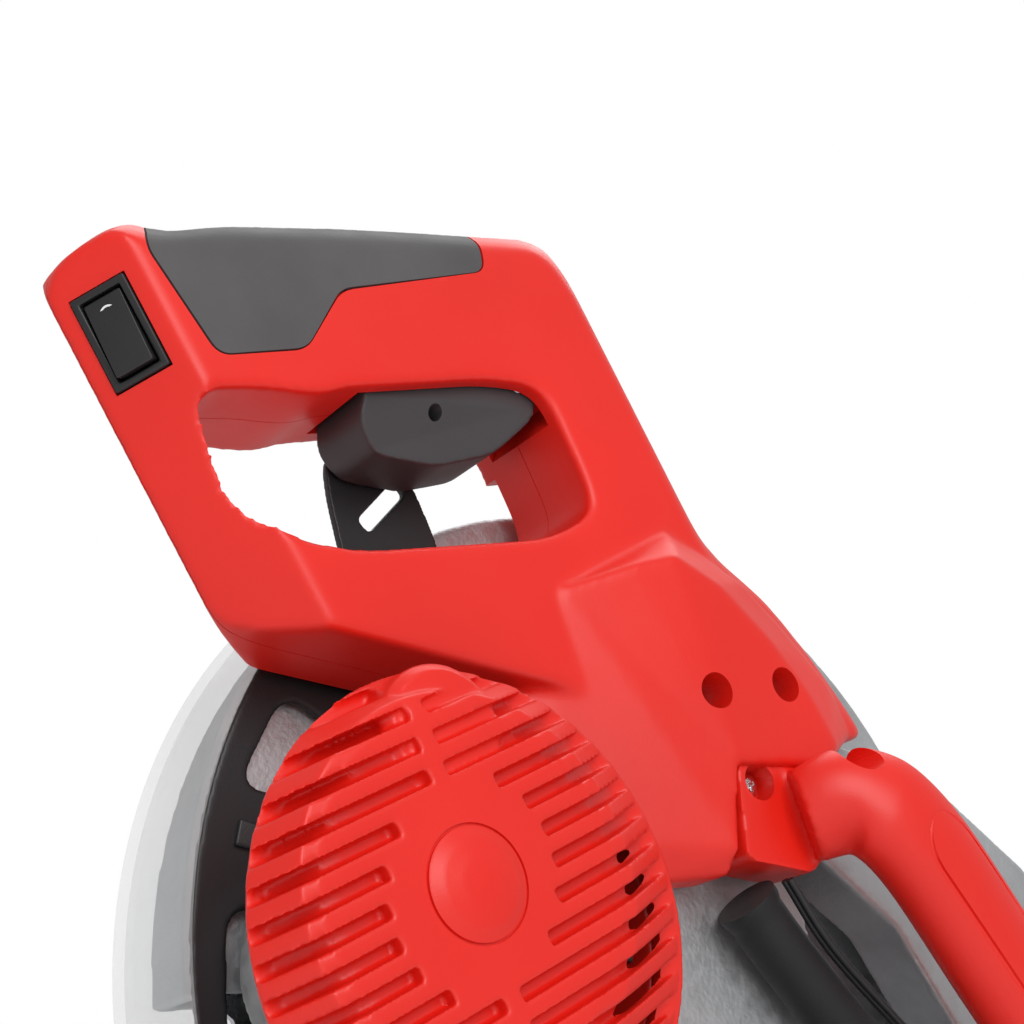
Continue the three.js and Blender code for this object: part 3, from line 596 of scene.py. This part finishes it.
# ---------- handle ----------
HANDLE_OUTLINE = [
    (-182, 423), (-165, 444), (-155, 444), (-140, 452), (-100, 467), (-55, 482), (-40, 487), (-30, 480),
    (19, 404), (42, 393), (62, 376), (81, 355), (49, 342), (12, 343), (-60, 343), (-118, 343), (-128, 346)]
HANDLE_OPENING = [
    (-145, 396), (-140, 386), (-131, 370), (-118, 364), (-100, 365), (-42, 384), (-28, 394), (-27, 402),
    (-43, 430), (-60, 427), (-96, 413), (-104, 410), (-112, 405), (-128, 402)]
GRIP_OUTLINE = [
    (-163, 430), (-158, 460), (-140, 476), (-66, 500), (-66, 476), (-63, 460), (-108, 437), (-117, 416),
    (-141, 406)]
GRIP_DEEP = 2.4
MIDDLE = 36            # the parting line between the two halves, across the saw
PARTING_GAP = 0.15
FRONT_TOP = Vector((36, -182, 423))
FRONT_FOOT = Vector((36, -128, 346))
CREASE = [(57.5, -38, 370), (66, 12, 327)]        # lower edge of the raised shoulder by the screws
SHOULDER = [(57.5, -38, 370), (63, -20, 379), (66, -6.8, 384), (66, 8.8, 379), (66, 26.3, 367),
            (66, 40, 353.6), (66, 49, 341), (66, 45, 334), (66.5, 13.4, 329), (57, -2, 396), (57, 26, 387),
            (57, 56, 364), (57, 64, 349)]
SCREW_HOLES = [(6, 348), (31, 355)]
CROWN = [(20, 13), (18.5, 9), (15.5, 5), (10.5, 2), (5, 0)]    # each layer's half width and lowering


def facet_frame(side):
    """Across, along and out directions of a front facet; the two lean back from the parting line."""
    edge = (FRONT_FOOT - FRONT_TOP).normalized()
    across = Vector((side * 20, 15, 8))
    across = (across - edge * across.dot(edge)).normalized()
    out = across.cross(edge).normalized()
    if out.y > 0:
        out.negate()
    return across, out.cross(across), out


def facet_block(side, low, high, along=(-180, 180), wide=(-60, 60), start=FRONT_TOP):
    across, length, out = facet_frame(side)
    corners = [start + across * a + length * b + out * c for a in wide for b in along for c in (low, high)]
    return hull("facet_block", metres(corners))


def crowned(name, deep):
    """The handle's slab with a rounded top and rear, all of it lying deep under the outer surface."""
    layers = []
    for half, lower in CROWN:
        low, high = (MIDDLE - half + deep) * MM, (MIDDLE + half - deep) * MM
        layer = prism("layer", rounded([(y, z - deep) for y, z in HANDLE_OUTLINE], 10), low, high)
        lowered = [(y - 0.35 * lower, z - deep - 0.95 * lower) for y, z in HANDLE_OUTLINE]
        boolean(layer, prism("lowered", rounded(lowered, 10), 0, 80 * MM), "INTERSECT")
        layers.append(layer)
    return soften(merge(name, *layers), 1.3, 4)


def handle_body():
    """The whole moulding before its pockets: both halves, the raised shoulder and the skirt under it."""
    body = crowned("handle_body", 0)
    boolean(body, prism("opening", rounded(HANDLE_OPENING, 9), 0, 80 * MM))
    for side in (-1, 1):
        boolean(body, facet_block(side, 0, 60))
    base = [(44.6, y, z) for _, y, z in SHOULDER]
    shoulder = hull("shoulder", metres(SHOULDER + base + [(50, -40, 368)]))
    skirt = hull("skirt", metres([
        *CREASE, (66, 12, 331), (65, 12.2, 306), (60, 12.2, 300), (53, -8, 296), (47, -38, 303),
        (47, -47, 330), (50, -44, 352), (44.6, 12.2, 331), (44.6, 12.2, 300), (44.6, -8, 296),
        (44.6, -38, 303), (44.6, -47, 352)]))
    body = merge("handle_body", body, shoulder, skirt)
    return soften(body, 1.15, 9)


def handle_core():
    """What the grip is moulded over: the body, a grip's thickness smaller."""
    return crowned("core", GRIP_DEEP)


def shrunk(outline, gap):
    middle = Vector((sum(p[0] for p in outline), sum(p[1] for p in outline))) / len(outline)
    return [tuple(Vector(p) + (middle - Vector(p)).normalized() * gap) for p in outline]


def make_handle():
    body = handle_body()
    grip_zone = prism("grip_zone", rounded(GRIP_OUTLINE, 4), 0, 80 * MM)
    boolean(grip_zone, handle_core())
    grip = link("rubber_grip_look", body.data.copy())
    inner_zone = prism("inner_zone", rounded(shrunk(GRIP_OUTLINE, 0.7), 3.6), 1 * MM, 79 * MM)
    boolean(inner_zone, handle_core())
    boolean(grip, inner_zone, "INTERSECT")

    trigger_room = prism("trigger_room", metres([(-99, 400), (-99, 425), (-70, 437), (-42, 440), (-36, 430),
                                                 (-42, 405)]), 23.4 * MM, 50.8 * MM)
    relief = prism("relief", metres([(20, 320), (28, 352), (56, 370), (92, 352), (92, 320)]),
                   23.6 * MM, 44.4 * MM)
    sweep_room = lathe("sweep_room", metres([(0, 10), (142, 10), (142, 21.5), (0, 21.5)]),
                       (0, ARBOR.y, ARBOR.z), segments=160)
    lever_room = prism("lever_room", metres([(-100, 392), (-97, 370), (-84, 345.5), (-52, 345.5), (-42, 356),
                                             (-42, 392)]), 20.2 * MM, 23.9 * MM)
    pocket = switch_block(16, 26, -14, 12)
    tools = [grip_zone, trigger_room, relief, sweep_room, lever_room, pocket]
    for y, z in SCREW_HOLES:
        tools.append(lathe("hole", metres([(0, 52), (5, 52), (5, 90), (0, 90)]), (0, y * MM, z * MM),
                           segments=40))
    for tool in tools:
        boolean(body, tool)
    for side, node in ((-1, "handle_shell_left"), (1, "handle_shell_right")):
        half = link(node + "_look", body.data.copy())
        low, high = sorted((MIDDLE + side * PARTING_GAP, MIDDLE - side * 60))
        other = metres([(-300, 200), (200, 200), (200, 600), (-300, 600)])
        boolean(half, prism("other_half", other, low * MM, high * MM))
        show(shade_by_angle(half, 40), node)
    drop(body)
    show(shade_by_angle(grip, 40), "rubber_grip")


# ---------- switch ----------
SWITCH_ACROSS = 13
SWITCH_DOWN = 22


def switch_frame():
    across, length, out = facet_frame(1)
    middle = FRONT_TOP + (FRONT_FOOT - FRONT_TOP).normalized() * SWITCH_DOWN + across * SWITCH_ACROSS
    return middle, across, length, out


def switch_block(wide, long, low, high):
    middle, across, length, out = switch_frame()
    corners = [middle + across * a + length * b + out * c
               for a in (-wide / 2, wide / 2) for b in (-long / 2, long / 2) for c in (low, high)]
    return hull("switch_block", metres(corners))


def on_switch(obj, height, turn=0.0):
    """Stands obj, modelled flat about the origin in metres, on the switch's face."""
    middle, across, length, out = switch_frame()
    basis = Matrix((across, length, out)).transposed().to_4x4()
    obj.data.transform(Matrix.Rotation(turn, 4, "X"))
    obj.data.transform(Matrix.Translation(Vector((0, 0, height * MM))))
    obj.data.transform(Matrix.Translation(middle * MM) @ basis)
    return obj


def make_switch():
    bezel = switch_block(15.2, 25.2, -11, 0.9)
    boolean(bezel, switch_block(11.4, 21.4, -8.5, 4))
    show(bevelled(bezel, 0.5), "switch_bezel")
    rocker = hull("rocker_look", metres([
        (x, y, z) for x in (-5.1, 5.1) for y, z in ((-10, -5), (10, -5), (10, 0.4), (0, 0.9), (-10, 3.0))]))
    rocker = bevelled(rocker, 0.5)
    rocker = on_switch(rocker, 0)
    rocker.name = "rocker_button_look"
    show(rocker, "rocker_button")
    ring = lathe("mark_off", metres([(1.9, -0.15), (2.4, -0.15), (2.4, 0.15), (1.9, 0.15)]), (0, 0, 0),
                 (0, 0, 1), 40)
    ring.data.transform(Matrix.Translation((0, 5.2 * MM, 0)))
    dash = prism("mark_on", rounded([(-0.35, -6.9), (0.35, -6.9), (0.35, -3.5), (-0.35, -3.5)], 0.3, 3),
                 -0.15 * MM, 0.15 * MM, axis=2)
    ring.data.transform(Matrix.Rotation(-math.atan2(0.5, 10), 4, "X"))
    dash.data.transform(Matrix.Rotation(-math.atan2(2.1, 10), 4, "X"))
    for mark in (ring, dash):
        on_switch(mark, 1.0)
        paint(mark, "mark_paint")
        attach(mark, "rocker")


# ---------- trigger and release lever ----------
def make_trigger():
    outline = [(-97, 417), (-96, 406), (-89, 400), (-70, 402), (-53, 410), (-42, 423), (-42, 435), (-54, 435)]
    body = prism("trigger_look", rounded(outline, 4), 24.2 * MM, 50 * MM)
    chamfer = hull("chamfer", metres([(51, -110, 411), (51, -40, 428), (51, -110, 390), (51, -40, 390),
                                      (41, -110, 390), (41, -40, 390), (51, -30, 428)]))
    boolean(body, chamfer)
    soften(body, 0.6, 5)
    for y, z, radius in ((-74, 415, 2.2), (-48, 431, 2.3)):
        boolean(body, lathe("hole", metres([(0, 0), (radius, 0), (radius, 80), (0, 80)]),
                            (0, y * MM, z * MM), segments=28))
    show(shade_by_angle(body, 40), "trigger")
    lever = soften(node_copy("guard_release_lever"), 0.45, 2)
    show(lever, "guard_release_lever")


# ---------- motor end cap ----------
CAP_SPACING = 7.0
CAP_SLOT = 3.3
CAP_TILT = math.radians(31)
CAP_ROWS = 16
CAP_DEEP = 4.0
CAP_FACE_CENTRE = Vector((96, -90.5, 275.5))
CAP_LEAN = ((CAP_FACE_CENTRE.y - MOTOR.y / MM) / 16, (CAP_FACE_CENTRE.z - MOTOR.z / MM) / 16)
CAP_ORIGIN = (0, MOTOR.y - CAP_LEAN[0] * 80 * MM, MOTOR.z - CAP_LEAN[1] * 80 * MM)


def cap_dome(inset, segments=128):
    profile = [(0, 96 - inset), (38 - inset, 95.6 - inset), (42.5 - inset, 94.9 - inset),
               (56 - inset * 1.3, 83), (56 - inset * 1.3, 80.3), (0, 80.3)]
    return lathe("dome", metres(profile), CAP_ORIGIN, segments=segments, lean=CAP_LEAN)


def cap_bar(a0, a1, s, low, high, wide):
    """A block along a slot's direction: a along it, s across it, both from the face's centre."""
    along = Vector((0, math.cos(CAP_TILT), math.sin(CAP_TILT)))
    across = Vector((0, -math.sin(CAP_TILT), math.cos(CAP_TILT)))
    flat = Vector((0, CAP_FACE_CENTRE.y, CAP_FACE_CENTRE.z))
    corners = [flat + along * a + across * (s + t) + Vector((x, 0, 0))
               for a in (a0, a1) for t in (-wide / 2, wide / 2) for x in (low, high)]
    return hull("cap_bar", metres(corners))


def cap_grooves():
    """Where each row of slots starts and stops: off the leaning spine, and clear of the button."""
    bars = []
    for row in range(CAP_ROWS):
        s = (row - CAP_ROWS / 2 + 0.5) * CAP_SPACING
        spine = -0.5 + 0.13 * s
        clear = math.sqrt(max(0.0, 22.5 ** 2 - s * s))
        bars.append((spine + max(2.3, clear), 90, s))
        bars.append((-90, spine - max(2.3, clear), s))
    return bars


def make_motor_cap():
    shell = cap_dome(0)
    tools = [cap_bar(a0, a1, s, 82.6, 120, CAP_SLOT) for a0, a1, s in cap_grooves()]
    boolean(shell, merge("slots", *tools))
    core = cap_dome(CAP_DEEP)
    lobe = lathe("lobe", metres([(0, 80.3), (15.5, 80.3), (15.5, 91), (13.5, 93), (0, 93.5)]),
                 (0, -97 * MM, 309 * MM), segments=64)
    button = lathe("button", metres([(0, 98.4), (5, 98.1), (9.5, 97.2), (12.2, 95.9), (12.2, 90), (0, 90)]),
                   (0, CAP_FACE_CENTRE.y * MM, CAP_FACE_CENTRE.z * MM), segments=64)
    rim = lathe("rim", metres([(50, 80.2), (56.4, 80.2), (56.4, 82.4), (50, 82.6)]),
                (0, MOTOR.y, MOTOR.z), segments=128)
    cap = soften(merge("motor_cap_look", shell, core, lobe, button, rim), 0.62, 2)
    moat = lathe("moat", metres([(12.3, 95.2), (13.0, 95.2), (13.0, 100), (12.3, 100)]),
                 (0, CAP_FACE_CENTRE.y * MM, CAP_FACE_CENTRE.z * MM), segments=96)
    boolean(cap, moat)
    hollow = lathe("hollow", metres([(0, 70), (49, 70), (49, 83), (37, 89.5), (0, 89.5)]),
                   (0, MOTOR.y, MOTOR.z), segments=64)
    boolean(cap, hollow)
    show(shade_by_angle(cap, 50), "motor_cap")


def make_motor_housing():
    body = lathe("motor_housing_look", metres([
        (12, 43.9), (30, 43.9), (33.6, 45), (35, 48), (44.4, 64), (51.5, 76), (53, 78.4), (53, 79.5),
        (49, 79.5), (33, 48.2), (12, 48.2)]), (0, MOTOR.y, MOTOR.z), segments=128)
    for side in (-1, 1):
        boss = lathe("boss", metres([(0, 34), (11, 34), (11, 47.4), (10, 48.2), (0, 48.2)]),
                     (64 * MM, MOTOR.y, MOTOR.z), (0, 0, side), 48)
        body = merge("motor_housing_look", body, boss)
    soften(body, 0.9, 3)
    for side in (-1, 1):
        boolean(body, lathe("hole", metres([(0, 20), (8.4, 20), (8.4, 70), (0, 70)]),
                            (64 * MM, MOTOR.y, MOTOR.z), (0, 0, side), 40))
    show(shade_by_angle(body, 40), "motor_housing")


# ---------- carry handle ----------
CARRY_PATH = [(66, 34, 318), (76, 46, 322), (80, 62, 312), (80, 92, 280), (80, 130, 240), (76, 158, 216),
              (60, 170, 210), (45, 171, 210)]
CARRY_HALF = (11.5, 16.0)
PANEL_FROM = (66, 308)
PANEL_TO = (136, 234)
PANEL_HALF = 8.5


def make_carry_handle():
    path = smooth_path(metres(CARRY_PATH), 8)

    def section(t):
        grow = 0.78 + 0.22 * min(1.0, t * 5)
        taper = 1.0 - 0.25 * max(0.0, (t - 0.8) / 0.2)
        size = grow * taper
        return [(a * MM, b * MM) for a, b in oval(CARRY_HALF[0] * size, CARRY_HALF[1] * size, 32)]

    bar = sweep("bar", path, section)
    plate = prism("plate", rounded([(13, 330), (49, 341.6), (51.5, 330), (40, 304), (15, 304)], 3),
                  46.8 * MM, 64 * MM)
    handle = soften(merge("carry_handle_look", bar, plate), 1.0, 6)
    boolean(handle, prism("trim", metres([(100, 150), (260, 150), (260, 260), (100, 260)]),
                          -10 * MM, 44.9 * MM))
    for y, z in ((21, 326), (42, 333)):
        bore = metres([(0, 40), (2.4, 40), (2.4, 57.2), (5.2, 57.2), (5.2, 95), (0, 95)])
        boolean(handle, lathe("bore", bore, (0, y * MM, z * MM), segments=36))
    boolean(handle, panel_groove())
    show(shade_by_angle(handle, 40), "carry_handle")


def panel_groove():
    """A racetrack line round the flat of the grip, carved into its outer face."""
    start = Vector(PANEL_FROM)
    end = Vector(PANEL_TO)
    along = (end - start).normalized()
    side = Vector((-along.y, along.x))
    ring = []
    for centre, first in ((end, -90), (start, 90)):
        for step in range(13):
            angle = math.radians(first + 15 * step)
            offset = along * math.cos(angle) * PANEL_HALF * 1.4 + side * math.sin(angle) * PANEL_HALF
            across = offset.dot(side)
            depth = 80 + CARRY_HALF[0] * math.sqrt(1 - (across / CARRY_HALF[1]) ** 2)
            spot = centre + offset
            ring.append(Vector((depth + 0.3, spot.x, spot.y)) * MM)
    bm = bmesh.new()
    rows = []
    count = len(ring)
    for i, p in enumerate(ring):
        tangent = (ring[(i + 1) % count] - ring[i - 1]).normalized()
        across = tangent.cross(Vector((1, 0, 0))).normalized()
        up = across.cross(tangent)
        rows.append([bm.verts.new(p + (across * a + up * b)) for a, b in oval(0.75 * MM, 0.9 * MM, 8)])
    for i, row in enumerate(rows):
        ahead = rows[(i + 1) % count]
        for k in range(8):
            bm.faces.new((row[k], row[(k + 1) % 8], ahead[(k + 1) % 8], ahead[k]))
    return from_bmesh("panel_groove", bm)


# ---------- sleeve and lead ----------
SLEEVE_PATH = [(52.5, 24, 296.5), (52.5, 40, 281), (53, 62, 262), (53, 95, 244), (53, 130, 242),
               (54, 168, 246), (54, 200, 246), (45, 222, 238), (36, 231, 227), (36, 233.2, 215.2)]
LEAD_PATH = [(61.5, 31, 301.5), (61, 45, 286), (58.5, 68, 271), (53, 92, 260), (47.5, 102, 258.5)]


def make_sleeve():
    path = smooth_path(metres(SLEEVE_PATH), 10)

    def section(t):
        lip = 1.10 if t < 0.02 else 1.0
        return oval(8.0 * MM * lip, 8.0 * MM * lip, 36)

    sleeve = sweep("cable_sleeve_look", path, section)
    show(shade_by_angle(sleeve, 40), "cable_sleeve")
    lead_path = smooth_path(metres(LEAD_PATH), 10)
    for index, offset in enumerate((-1.0, 1.0)):
        outline = oval(1.05 * MM, 1.05 * MM, 16, (offset * MM, 0))
        core = sweep(f"laser_lead_core_{index + 1}", lead_path, outline)
        shade_by_angle(core, 60)
        paint(core, "black_plastic")
        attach(core, "head")
        if index == 0:
            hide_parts("laser_lead")


# ---------- blade and guard ----------
TEETH = 40
GUARD_FROM = 135
GUARD_TO = 300


def make_blade():
    outline = []
    step = 2 * math.pi / TEETH
    tooth = [(0.0, 127.5), (0.10, 126.3), (0.26, 120.5), (0.36, 118.6), (0.50, 117.8), (0.66, 118.8),
             (0.80, 121.5), (0.90, 124.4), (0.97, 127.0)]
    for i in range(TEETH):
        for part, radius in tooth:
            angle = step * (i + part)
            outline.append((ARBOR.y + radius * MM * math.cos(angle), ARBOR.z + radius * MM * math.sin(angle)))
    body = prism("blade_look", outline, -1.0 * MM, 1.0 * MM)
    bore = lathe("bore", metres([(0, -5), (8.3, -5), (8.3, 5), (0, 5)]), (0, ARBOR.y, ARBOR.z), segments=48)
    boolean(body, bore)
    for i in range(5):
        angle = 2 * math.pi * i / 5 + 0.2
        mouth = [(127, angle - 0.004), (127, angle + 0.004), (104, angle + 0.005), (101, angle + 0.012),
                 (98, angle), (101, angle - 0.012), (104, angle - 0.005)]
        edge = [(ARBOR.y + r * MM * math.cos(t), ARBOR.z + r * MM * math.sin(t)) for r, t in mouth]
        slit = prism("slit", edge, -2 * MM, 2 * MM)
        boolean(body, slit)
    show(shade_by_angle(body, 30), "blade")
    tips = []
    for i in range(TEETH):
        angle = step * i
        turn = Matrix.Rotation(angle, 4, "X")
        tip = hull("tip", metres([(x, y, z) for x in (-1.3, 1.3)
                                  for y, z in ((120.6, 0.1), (127.45, 0.3), (126.6, 2.1), (121.0, 1.9))]))
        tip.data.transform(Matrix.Translation((0, ARBOR.y, ARBOR.z)) @ turn)
        tips.append(tip)
    tips = merge("blade_tips", *tips)
    show(shade_by_angle(tips, 30), slot="steel", body="arbor")


def arc_band(name, inner, outer, low, high, start, end, steps):
    """Part of a ring about the arbor, radii and x in millimetres, angles in degrees."""
    bm = bmesh.new()
    rings = []
    for i in range(steps + 1):
        angle = math.radians(start + (end - start) * i / steps)
        rings.append([
            bm.verts.new((x * MM, ARBOR.y + r * MM * math.cos(angle), ARBOR.z + r * MM * math.sin(angle)))
            for r, x in ((inner, low), (outer, low), (outer, high), (inner, high))])
    for a, b in zip(rings, rings[1:]):
        for i in range(4):
            k = (i + 1) % 4
            bm.faces.new((a[i], a[k], b[k], b[i]))
    bm.faces.new(rings[0][::-1])
    bm.faces.new(rings[-1])
    return from_bmesh(name, bm)


def make_guard():
    rim = arc_band("guard_rim", 137.7, 140, -20, 20, GUARD_FROM, GUARD_TO, 120)
    wall = arc_band("guard_wall", 60, 138.9, -20, -18, GUARD_FROM, GUARD_TO, 120)
    boolean(rim, wall, "UNION")
    rim.name = "lower_guard_clear_look"
    show(shade_by_angle(rim, 35), "lower_guard_clear")
    plate = node_copy("lower_guard_plate")
    soften(plate, 0.8, 2)
    show(plate, "lower_guard_plate")
    for index, (start, end) in enumerate(((170, 176), (198, 204), (226, 232), (254, 260))):
        rib = arc_band(f"guard_rib_{index + 1}", 62, 128, 17.6, 19.4, start + 1.5, end - 1.5, 6)
        show(bevelled(rib, 0.6), slot="black_plastic", body="lower_guard")


# ---------- screws and turned parts ----------
def phillips(name, node, radius, height, depth):
    """A raised cross-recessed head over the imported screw, facing +X, with its washer."""
    low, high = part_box(node)
    y, z = (low.y + high.y) / 2, (low.z + high.z) / 2
    top = high.x / MM
    profile = [(0, top), (radius * 0.45, top - 0.12), (radius * 0.8, top - 0.7), (radius, top - 1.5),
               (radius, top - height), (radius * 0.45, top - height), (radius * 0.45, top - depth),
               (0, top - depth)]
    head = lathe(name, metres(profile), (0, y, z), segments=48)
    for turn in (0.5, 0.5 + math.pi / 2):
        blade = hull("cross", metres([(x, b * w, a * w) for x, w in ((top + 1, 1.15), (top - 1.5, 0.55))
                                      for a in (-radius * 0.52, radius * 0.52) for b in (-0.55, 0.55)]))
        blade.data.transform(Matrix.Translation((0, y, z)) @ Matrix.Rotation(turn, 4, "X"))
        boolean(head, blade)
    show(bevelled(head, 0.12, 2), node)


def rod(node, axis, chamfer=0.6, bore=0.0, segments=48):
    """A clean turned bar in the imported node's box, along X, Y or Z."""
    low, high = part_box(node)
    middle = (low + high) / 2
    size = (high - low) / MM
    length = size[axis]
    radius = max(size[(axis + 1) % 3], size[(axis + 2) % 3]) / 2
    half = length / 2
    c = min(chamfer, length / 4)
    profile = [(bore, -half), (radius - c, -half), (radius, -half + c), (radius, half - c),
               (radius - c, half), (bore, half)]
    direction = tuple(1 if i == axis else 0 for i in range(3))
    made = lathe(node + "_look", metres(profile), middle, direction, segments)
    return show(shade_by_angle(made, 30), node)


def make_turned_parts():
    for node, axis in (("mitre_lock_rod", 1), ("bevel_pivot_pin", 1), ("pivot_shaft", 0), ("trigger_pin", 0),
                       ("guard_lever_pin", 0)):
        rod(node, axis, 0.5)
    for node, bore in (("arbor_bearing", 8.35), ("inner_flange", 8.35), ("outer_flange", 8.35),
                       ("motor_bearing", 5.35), ("arbor_pulley", 8.35), ("motor_pulley", 5.35)):
        rod(node, 0, 0.5, bore, 64)
    phillips("carry_screw_1_look", "carry_screw_1", 4.0, 2.6, 12)
    phillips("carry_screw_2_look", "carry_screw_2", 4.0, 2.6, 12)
    phillips("shell_screw_1_look", "shell_screw_1", 4.2, 2.4, 2.9)
    phillips("shell_screw_2_look", "shell_screw_2", 4.2, 2.4, 2.9)


# ---------- castings and the rest ----------
# Each node's remesh size in mm and its rounds of smoothing.
CAST_VOXELS = {
    "head_casting": (1.3, 3), "base_casting": (1.8, 3), "turntable": (1.8, 3), "tilt_bracket": (1.4, 3),
    "belt_housing": (1.0, 2), "belt_cover": (0.9, 1), "fence_left": (1.1, 2), "fence_right": (1.1, 2),
}
PLASTIC_VOXELS = {
    "mitre_lock_knob": (0.8, 3), "bevel_lock_lever": (0.9, 4), "hold_down_pin": (0.7, 3),
    "dust_outlet": (0.9, 3), "strain_relief": (0.7, 3), "brush_cap_upper": (0.5, 3),
    "brush_cap_lower": (0.5, 3), "detent_lever": (0.7, 3), "cooling_fan": (0.6, 2), "stator": (0.9, 1),
    "armature": (0.8, 1), "return_spring": (0.45, 3), "drive_belt": (0.8, 2), "fence_bolt_left": (0.5, 2),
    "fence_bolt_right": (0.5, 2), "depth_stop_bolt": (0.5, 2),
    "arbor_bolt": (0.6, 1), "arbor_shaft": (0.6, 1), "kerf_plate": (0.9, 1),
}


def make_moulded_parts():
    for node, (voxel, rounds) in {**CAST_VOXELS, **PLASTIC_VOXELS}.items():
        piece = soften(node_copy(node), voxel, rounds)
        show(shade_by_angle(piece, 45), node)


# ---------- stage ----------
def make_stage():
    half = 3.0
    floor_mesh = bpy.data.meshes.new("floor")
    floor_mesh.from_pydata([(-half, -half, 0), (half, -half, 0), (half, half, 0), (-half, half, 0)], [],
                           [(0, 1, 2, 3)])
    floor = link("floor", floor_mesh)
    n = Nodes("floor")
    tone = n.mix(n.noise(6.0), (0.80, 0.80, 0.80), (0.84, 0.84, 0.84))
    floor_mesh.materials.append(n.finish(Base_Color=tone, Roughness=0.7))


def area_light(name, place, target, size, power):
    light = bpy.data.lights.new(name, "AREA")
    light.shape = "SQUARE"
    light.size = size
    light.energy = power
    obj = bpy.data.objects.new(name, light)
    bpy.context.scene.collection.objects.link(obj)
    obj.location = place
    obj.rotation_mode = "QUATERNION"
    obj.rotation_quaternion = (Vector(target) - Vector(place)).to_track_quat("-Z", "Y")


AMBIENT = 0.5      # what the white surroundings give the object; the camera sees them at full white
KEY_WATTS = 11
TOP_WATTS = 9


def make_light():
    world = bpy.data.worlds.new("studio")
    world.use_nodes = True
    background = world.node_tree.nodes["Background"]
    background.inputs["Color"].default_value = (1.0, 1.0, 1.0, 1.0)
    seen = world.node_tree.nodes.new("ShaderNodeLightPath")
    level = world.node_tree.nodes.new("ShaderNodeMapRange")
    level.inputs["To Min"].default_value = AMBIENT
    world.node_tree.links.new(seen.outputs["Is Camera Ray"], level.inputs["Value"])
    world.node_tree.links.new(level.outputs["Result"], background.inputs["Strength"])
    bpy.context.scene.world = world
    middle = (0.03, -0.02, 0.36)
    area_light("key", (1.3, -0.5, 0.75), middle, 0.9, KEY_WATTS)
    area_light("top", (-0.3, 0.3, 1.7), middle, 1.2, TOP_WATTS)
    bpy.context.scene.view_settings.view_transform = "Standard"


make_camera()
cord, cord_length, cord_exit = make_cord()
plug_pieces = make_plug()
make_stage()
make_light()
for node, obj in frame["nodes"].items():
    paint(obj, SLOT_OF[node])
make_handle()
make_switch()
make_trigger()
make_motor_cap()
make_motor_housing()
make_carry_handle()
make_sleeve()
make_blade()
make_guard()
make_turned_parts()
make_moulded_parts()
